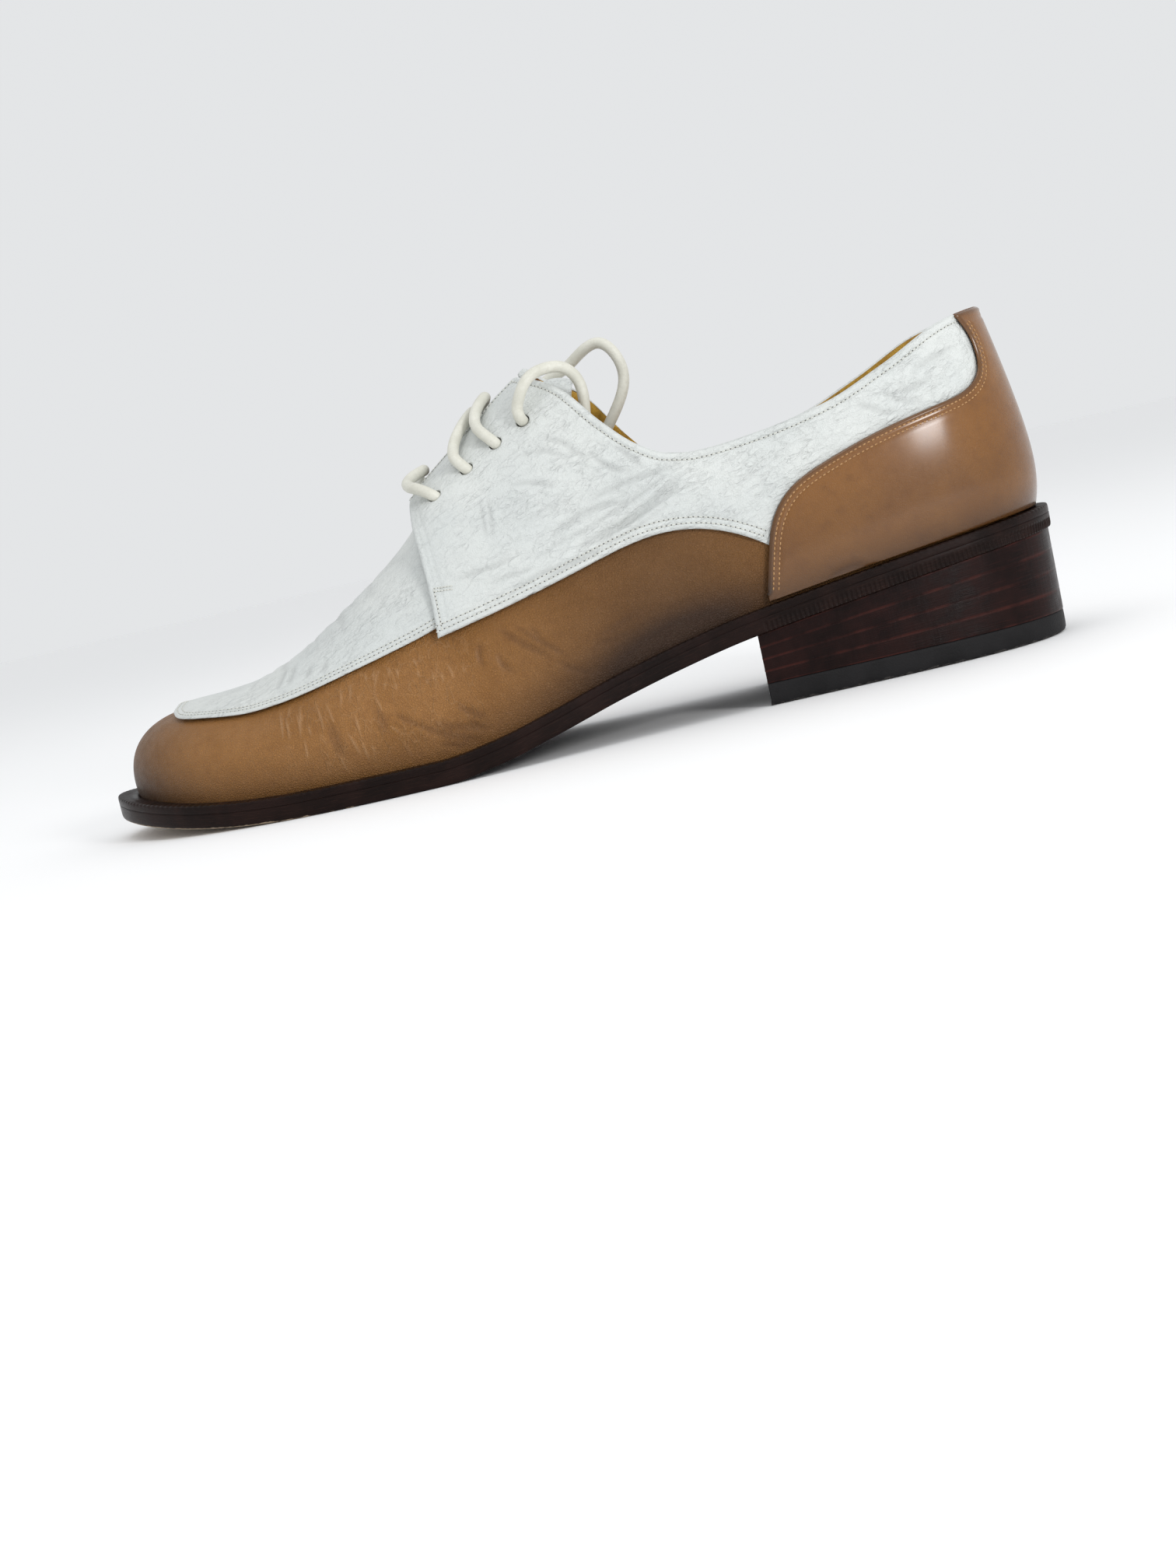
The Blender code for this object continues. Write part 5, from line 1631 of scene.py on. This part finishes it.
half = len(counter_top) // 2
below = RIM_POINTS + RIM_CLEAR
counter_surface = surface_of(counter)
sewn = []
for line in (counter_top[half + below:], counter_top[:half - below + 1]):
    for inset in COUNTER_STITCHES:
        sewn += thread_row(counter_surface, line, COUNTER_GAP + COUNTER_THICKNESS, -1, inset)
show_stitches("counter", sewn, tan_thread, "tan_leather", with_holes=False)

# Tongue.
# A padded white leather tongue under the facings, sewn in at the front of the throat, with a rounded top.
TONGUE_THICKNESS = 1.5
TONGUE_GAP = 1.5
TONGUE_TOP = 126.0
TONGUE_DROOP = 0.06
DROOP_FROM = 138.0
TONGUE_FRONT = 180.0
TONGUE_ROUND = 7.0
# Half width at the top and at the front
TONGUE_HALF_WIDTH = (22.0, 16.0)
TONGUE_COLUMNS, TONGUE_ROWS = 48, 60


def tongue_shape(across, up):
    wide = np.abs(1.0 - 2.0 * up)
    along = TONGUE_TOP + TONGUE_ROUND * wide ** 2
    along = along + (TONGUE_FRONT - along) * across
    turn = np.where(up < 0.5, turn_at(along, 1), turn_at(along, -1))
    reach = np.abs(around(FEATHER_TRACE, turn)[:, 1] - ridge(along))
    half_width = np.interp(across, (0.0, 1.0), TONGUE_HALF_WIDTH)
    place = leather(turn, climb_for_share(turn, wide * half_width / reach), -WALL - TONGUE_GAP)
    place[:, 2] -= TONGUE_DROOP * np.maximum(DROOP_FROM - along, 0.0) ** 2
    return {"place": place, "fold": np.zeros_like(up)}


tongue_mesh = mapped_grid(bmesh.new(), TONGUE_COLUMNS, TONGUE_ROWS, tongue_shape, ("fold",))
tongue = add_piece("tongue_dressed", tongue_mesh, white_hide, "white_leather", "tongue", sheet=True)
thicken(tongue, TONGUE_THICKNESS)

# Laces.
# One round braided lace of waxed cotton. It runs straight across the three lower rows of eyelets and dives
# into each hole. Its two ends leave the top eyelets, bend over and hang down inside the collar.
LACE_DIAMETER = 3.2
LACE_SIDES = 18
BAR_POINTS = 7
# Depth of a lace's end under the leather, and how far it sinks into its eyelet
LACE_UNDER, LACE_SINK = 2.0, 0.4
# A direction that no lace runs in
ASKEW = (0.31, 0.92, 0.24)
# Points along a bar, along a stub in an eyelet and along each part of an end, and those to a step of its path
BAR_STEPS, STUB_STEPS, PART_STEPS, PATH_STEP = 130, 24, 8, 4
# Share of its bow that a bar has on the outer and the inner side
BOW_SHARE = {1: 1.0, -1: 0.5}
# How each bar lies: its shift to the toe on the ridge, its bow to the toe on the way there, and how far it
# stands off
Bar = namedtuple("Bar", "lean bow arch")
BARS = [Bar(0.0, 3.5, 2.0), Bar(-6.0, 2.7, 0.5), Bar(-1.5, 3.2, 0.5)]
Stop = namedtuple("Stop", "along across height")
OUTER_END = [
    Stop(139.9, 17.4, 96.6),
    Stop(136.5, 17.6, 101.0),
    Stop(131.6, 15.6, 102.8),
    Stop(126.6, 14.0, 102.2),
    Stop(123.2, 13.0, 98.4),
    Stop(122.6, 12.8, 92.2),
    Stop(124.2, 12.6, 83.0),
]
INNER_END = [
    Stop(138.6, -17.0, 95.4),
    Stop(132.8, -16.0, 101.0),
    Stop(125.6, -13.0, 103.6),
    Stop(120.3, -10.0, 106.7),
    Stop(114.3, -7.0, 108.2),
    Stop(110.5, -5.5, 103.8),
    Stop(109.6, -5.0, 97.1),
    Stop(112.8, -5.0, 90.1),
    Stop(118.6, -6.5, 82.6),
]

paint = Paint("waxed_cream_lace", Coat_Weight=0.15, Coat_Roughness=0.4)
patches = paint.noise(paint.spot, 170.0)
fibres = paint.noise(paint.spot, 1500.0, 4.0, 0.6)
paint.base(paint.span(patches, 0.3, 0.7), (205, 204, 192), (217, 216, 205))
paint.layer(paint.span(fibres, 0.45, 0.8, 0.0, 0.3), (184, 181, 165))
waxed = paint.finish(fibres, 0.00012, paint.span(fibres, 0.3, 0.7, 0.45, 0.65))


def lace_tube(path, radius=LACE_DIAMETER / 2.0):
    """A round cord along a smooth path, with rounded ends."""
    ahead = unit(np.gradient(path, axis=0))
    side = np.zeros_like(ahead)
    side[0] = np.cross(ahead[0], ASKEW)
    for i in range(1, len(path)):
        side[i] = side[i - 1] - ahead[i] * (side[i - 1] @ ahead[i])
    side = unit(side)
    other = np.cross(ahead, side)
    tip = round_tips(path, radius)

    def shape(across, up):
        i = nearest_index(across, path)
        angle = up[:, None] * 2.0 * np.pi
        ring = side[i] * np.cos(angle) + other[i] * np.sin(angle)
        return path[i] + ring * (radius * tip[i])[:, None]

    return mapped_grid(bmesh.new(), len(path) - 1, LACE_SIDES, shape)


def lace_height(turn, climb):
    """Height over the skin of the middle of a lace that lies on a facing."""
    return flap_offset(turn, climb) + QUARTER_THICKNESS + GAP + LACE_DIAMETER / 2.0


def in_eyelet(side, row):
    """Points of a lace inside an eyelet, from under the leather up to its face."""
    turn, climb = eyelets[side][row]
    face = flap_offset(turn, climb) + QUARTER_THICKNESS
    return leather(np.full(2, turn), np.full(2, climb), np.array([-LACE_UNDER, face - LACE_SINK]))


for row, bar in enumerate(BARS):
    halves = []
    for side in (1, -1):
        way = np.linspace(0.0, 1.0, BAR_POINTS)
        climb = eyelets[side][row, 1] + (1.0 - eyelets[side][row, 1]) * way
        sideways = bar.lean * ease(way, 0.0, 1.0) + bar.bow * np.sin(way * np.pi) * BOW_SHARE[side]
        turn = turn_at(EYELET_ALONG[row] + sideways, side)
        run = leather(turn, climb, lace_height(turn, climb) + bar.arch * np.sin(way * np.pi))
        halves.append(np.vstack([in_eyelet(side, row), run[1:]]))
    path_over = curve_through(np.vstack([halves[0], halves[1][-2::-1]]), BAR_STEPS)
    add_piece(f"lace_bar_{row + 1}_dressed", lace_tube(path_over), waxed, "cream_lace", f"lace_bar_{row + 1}")

TOP_ROW = 3
FIRST_CLIMBS = np.array([0.0, 0.03])
for side, name, stops, parts in ((1, "lace_end_outer", OUTER_END, 15), (-1, "lace_end_inner", INNER_END, 20)):
    climb = eyelets[side][TOP_ROW, 1] + FIRST_CLIMBS
    turn = np.full_like(climb, eyelets[side][TOP_ROW, 0])
    start = leather(turn, climb, lace_height(turn, climb))
    stub = curve_through(np.vstack([in_eyelet(side, TOP_ROW), start]), STUB_STEPS)
    add_piece(f"{name}_in_eyelet", lace_tube(stub), waxed, "cream_lace")
    route = curve_through(np.vstack([start, stops]), PART_STEPS * parts)
    end = add_piece(f"{name}_dressed", lace_tube(route), waxed, "cream_lace", name)

# Floor, light and camera.
# A plain pale studio floor under two soft lights, seen from the outer side of the shoe with the camera
# rolled, so that the shoe keeps the tilt that it has in the picture.
FLOOR_RADIUS, FLOOR_SIDES = 12.0, 96
FLOOR_SHADE = (0.98, 0.98, 0.98, 1.0)
SKY_SHADE, SKY_STRENGTH = (0.97, 0.985, 1.0, 1.0), 0.8
floor_mesh = bmesh.new()
bmesh.ops.create_circle(floor_mesh, cap_ends=True, segments=FLOOR_SIDES, radius=FLOOR_RADIUS)
floor = put("floor", mesh_of("floor", floor_mesh))
floor.data.materials.append(Paint("pale_floor", Base_Color=FLOOR_SHADE, Roughness=0.8).material)

studio = bpy.data.worlds.new("studio")
studio.use_nodes = True
studio.node_tree.nodes["Background"].inputs["Color"].default_value = SKY_SHADE
studio.node_tree.nodes["Background"].inputs["Strength"].default_value = SKY_STRENGTH
bpy.context.scene.world = studio
bpy.context.scene.view_settings.view_transform = "Standard"

# Place, aim, size in metres and strength in watts of each soft light
Lamp = namedtuple("Lamp", "name place aim size power")
LAMPS = [
    Lamp("overhead", (0.10, 0.15, 1.20), (0.0, 0.0, 0.05), 0.7, 2.7),
    Lamp("shoulder", (-0.52, 0.76, 0.37), (-0.08, 0.03, 0.06), 0.2, 3.2),
]
for lamp in LAMPS:
    light = bpy.data.lights.new(lamp.name, "AREA")
    light.size = lamp.size
    light.energy = lamp.power
    lamp_object = put(lamp.name, light)
    lamp_object.location = lamp.place
    lamp_object.rotation_euler = (Vector(lamp.aim) - Vector(lamp.place)).to_track_quat("-Z", "Y").to_euler()

CAMERA_PLACE = (-0.00193, 0.53766, 0.06008)
CAMERA_TURN, CAMERA_DIP, CAMERA_ROLL = 180.76, 7.85, -12.84
LENS, SENSOR, NEAREST = 42.857, 36.0, 0.01
camera_data = bpy.data.cameras.new("camera")
camera_data.lens = LENS
camera_data.sensor_width = SENSOR
camera_data.clip_start = NEAREST
camera = put("camera", camera_data)
camera.matrix_world = (Matrix.Translation(CAMERA_PLACE) @ Matrix.Rotation(np.radians(CAMERA_TURN), 4, "Z")
                       @ Matrix.Rotation(np.radians(90.0 - CAMERA_DIP), 4, "X")
                       @ Matrix.Rotation(np.radians(CAMERA_ROLL), 4, "Z"))
bpy.context.scene.camera = camera
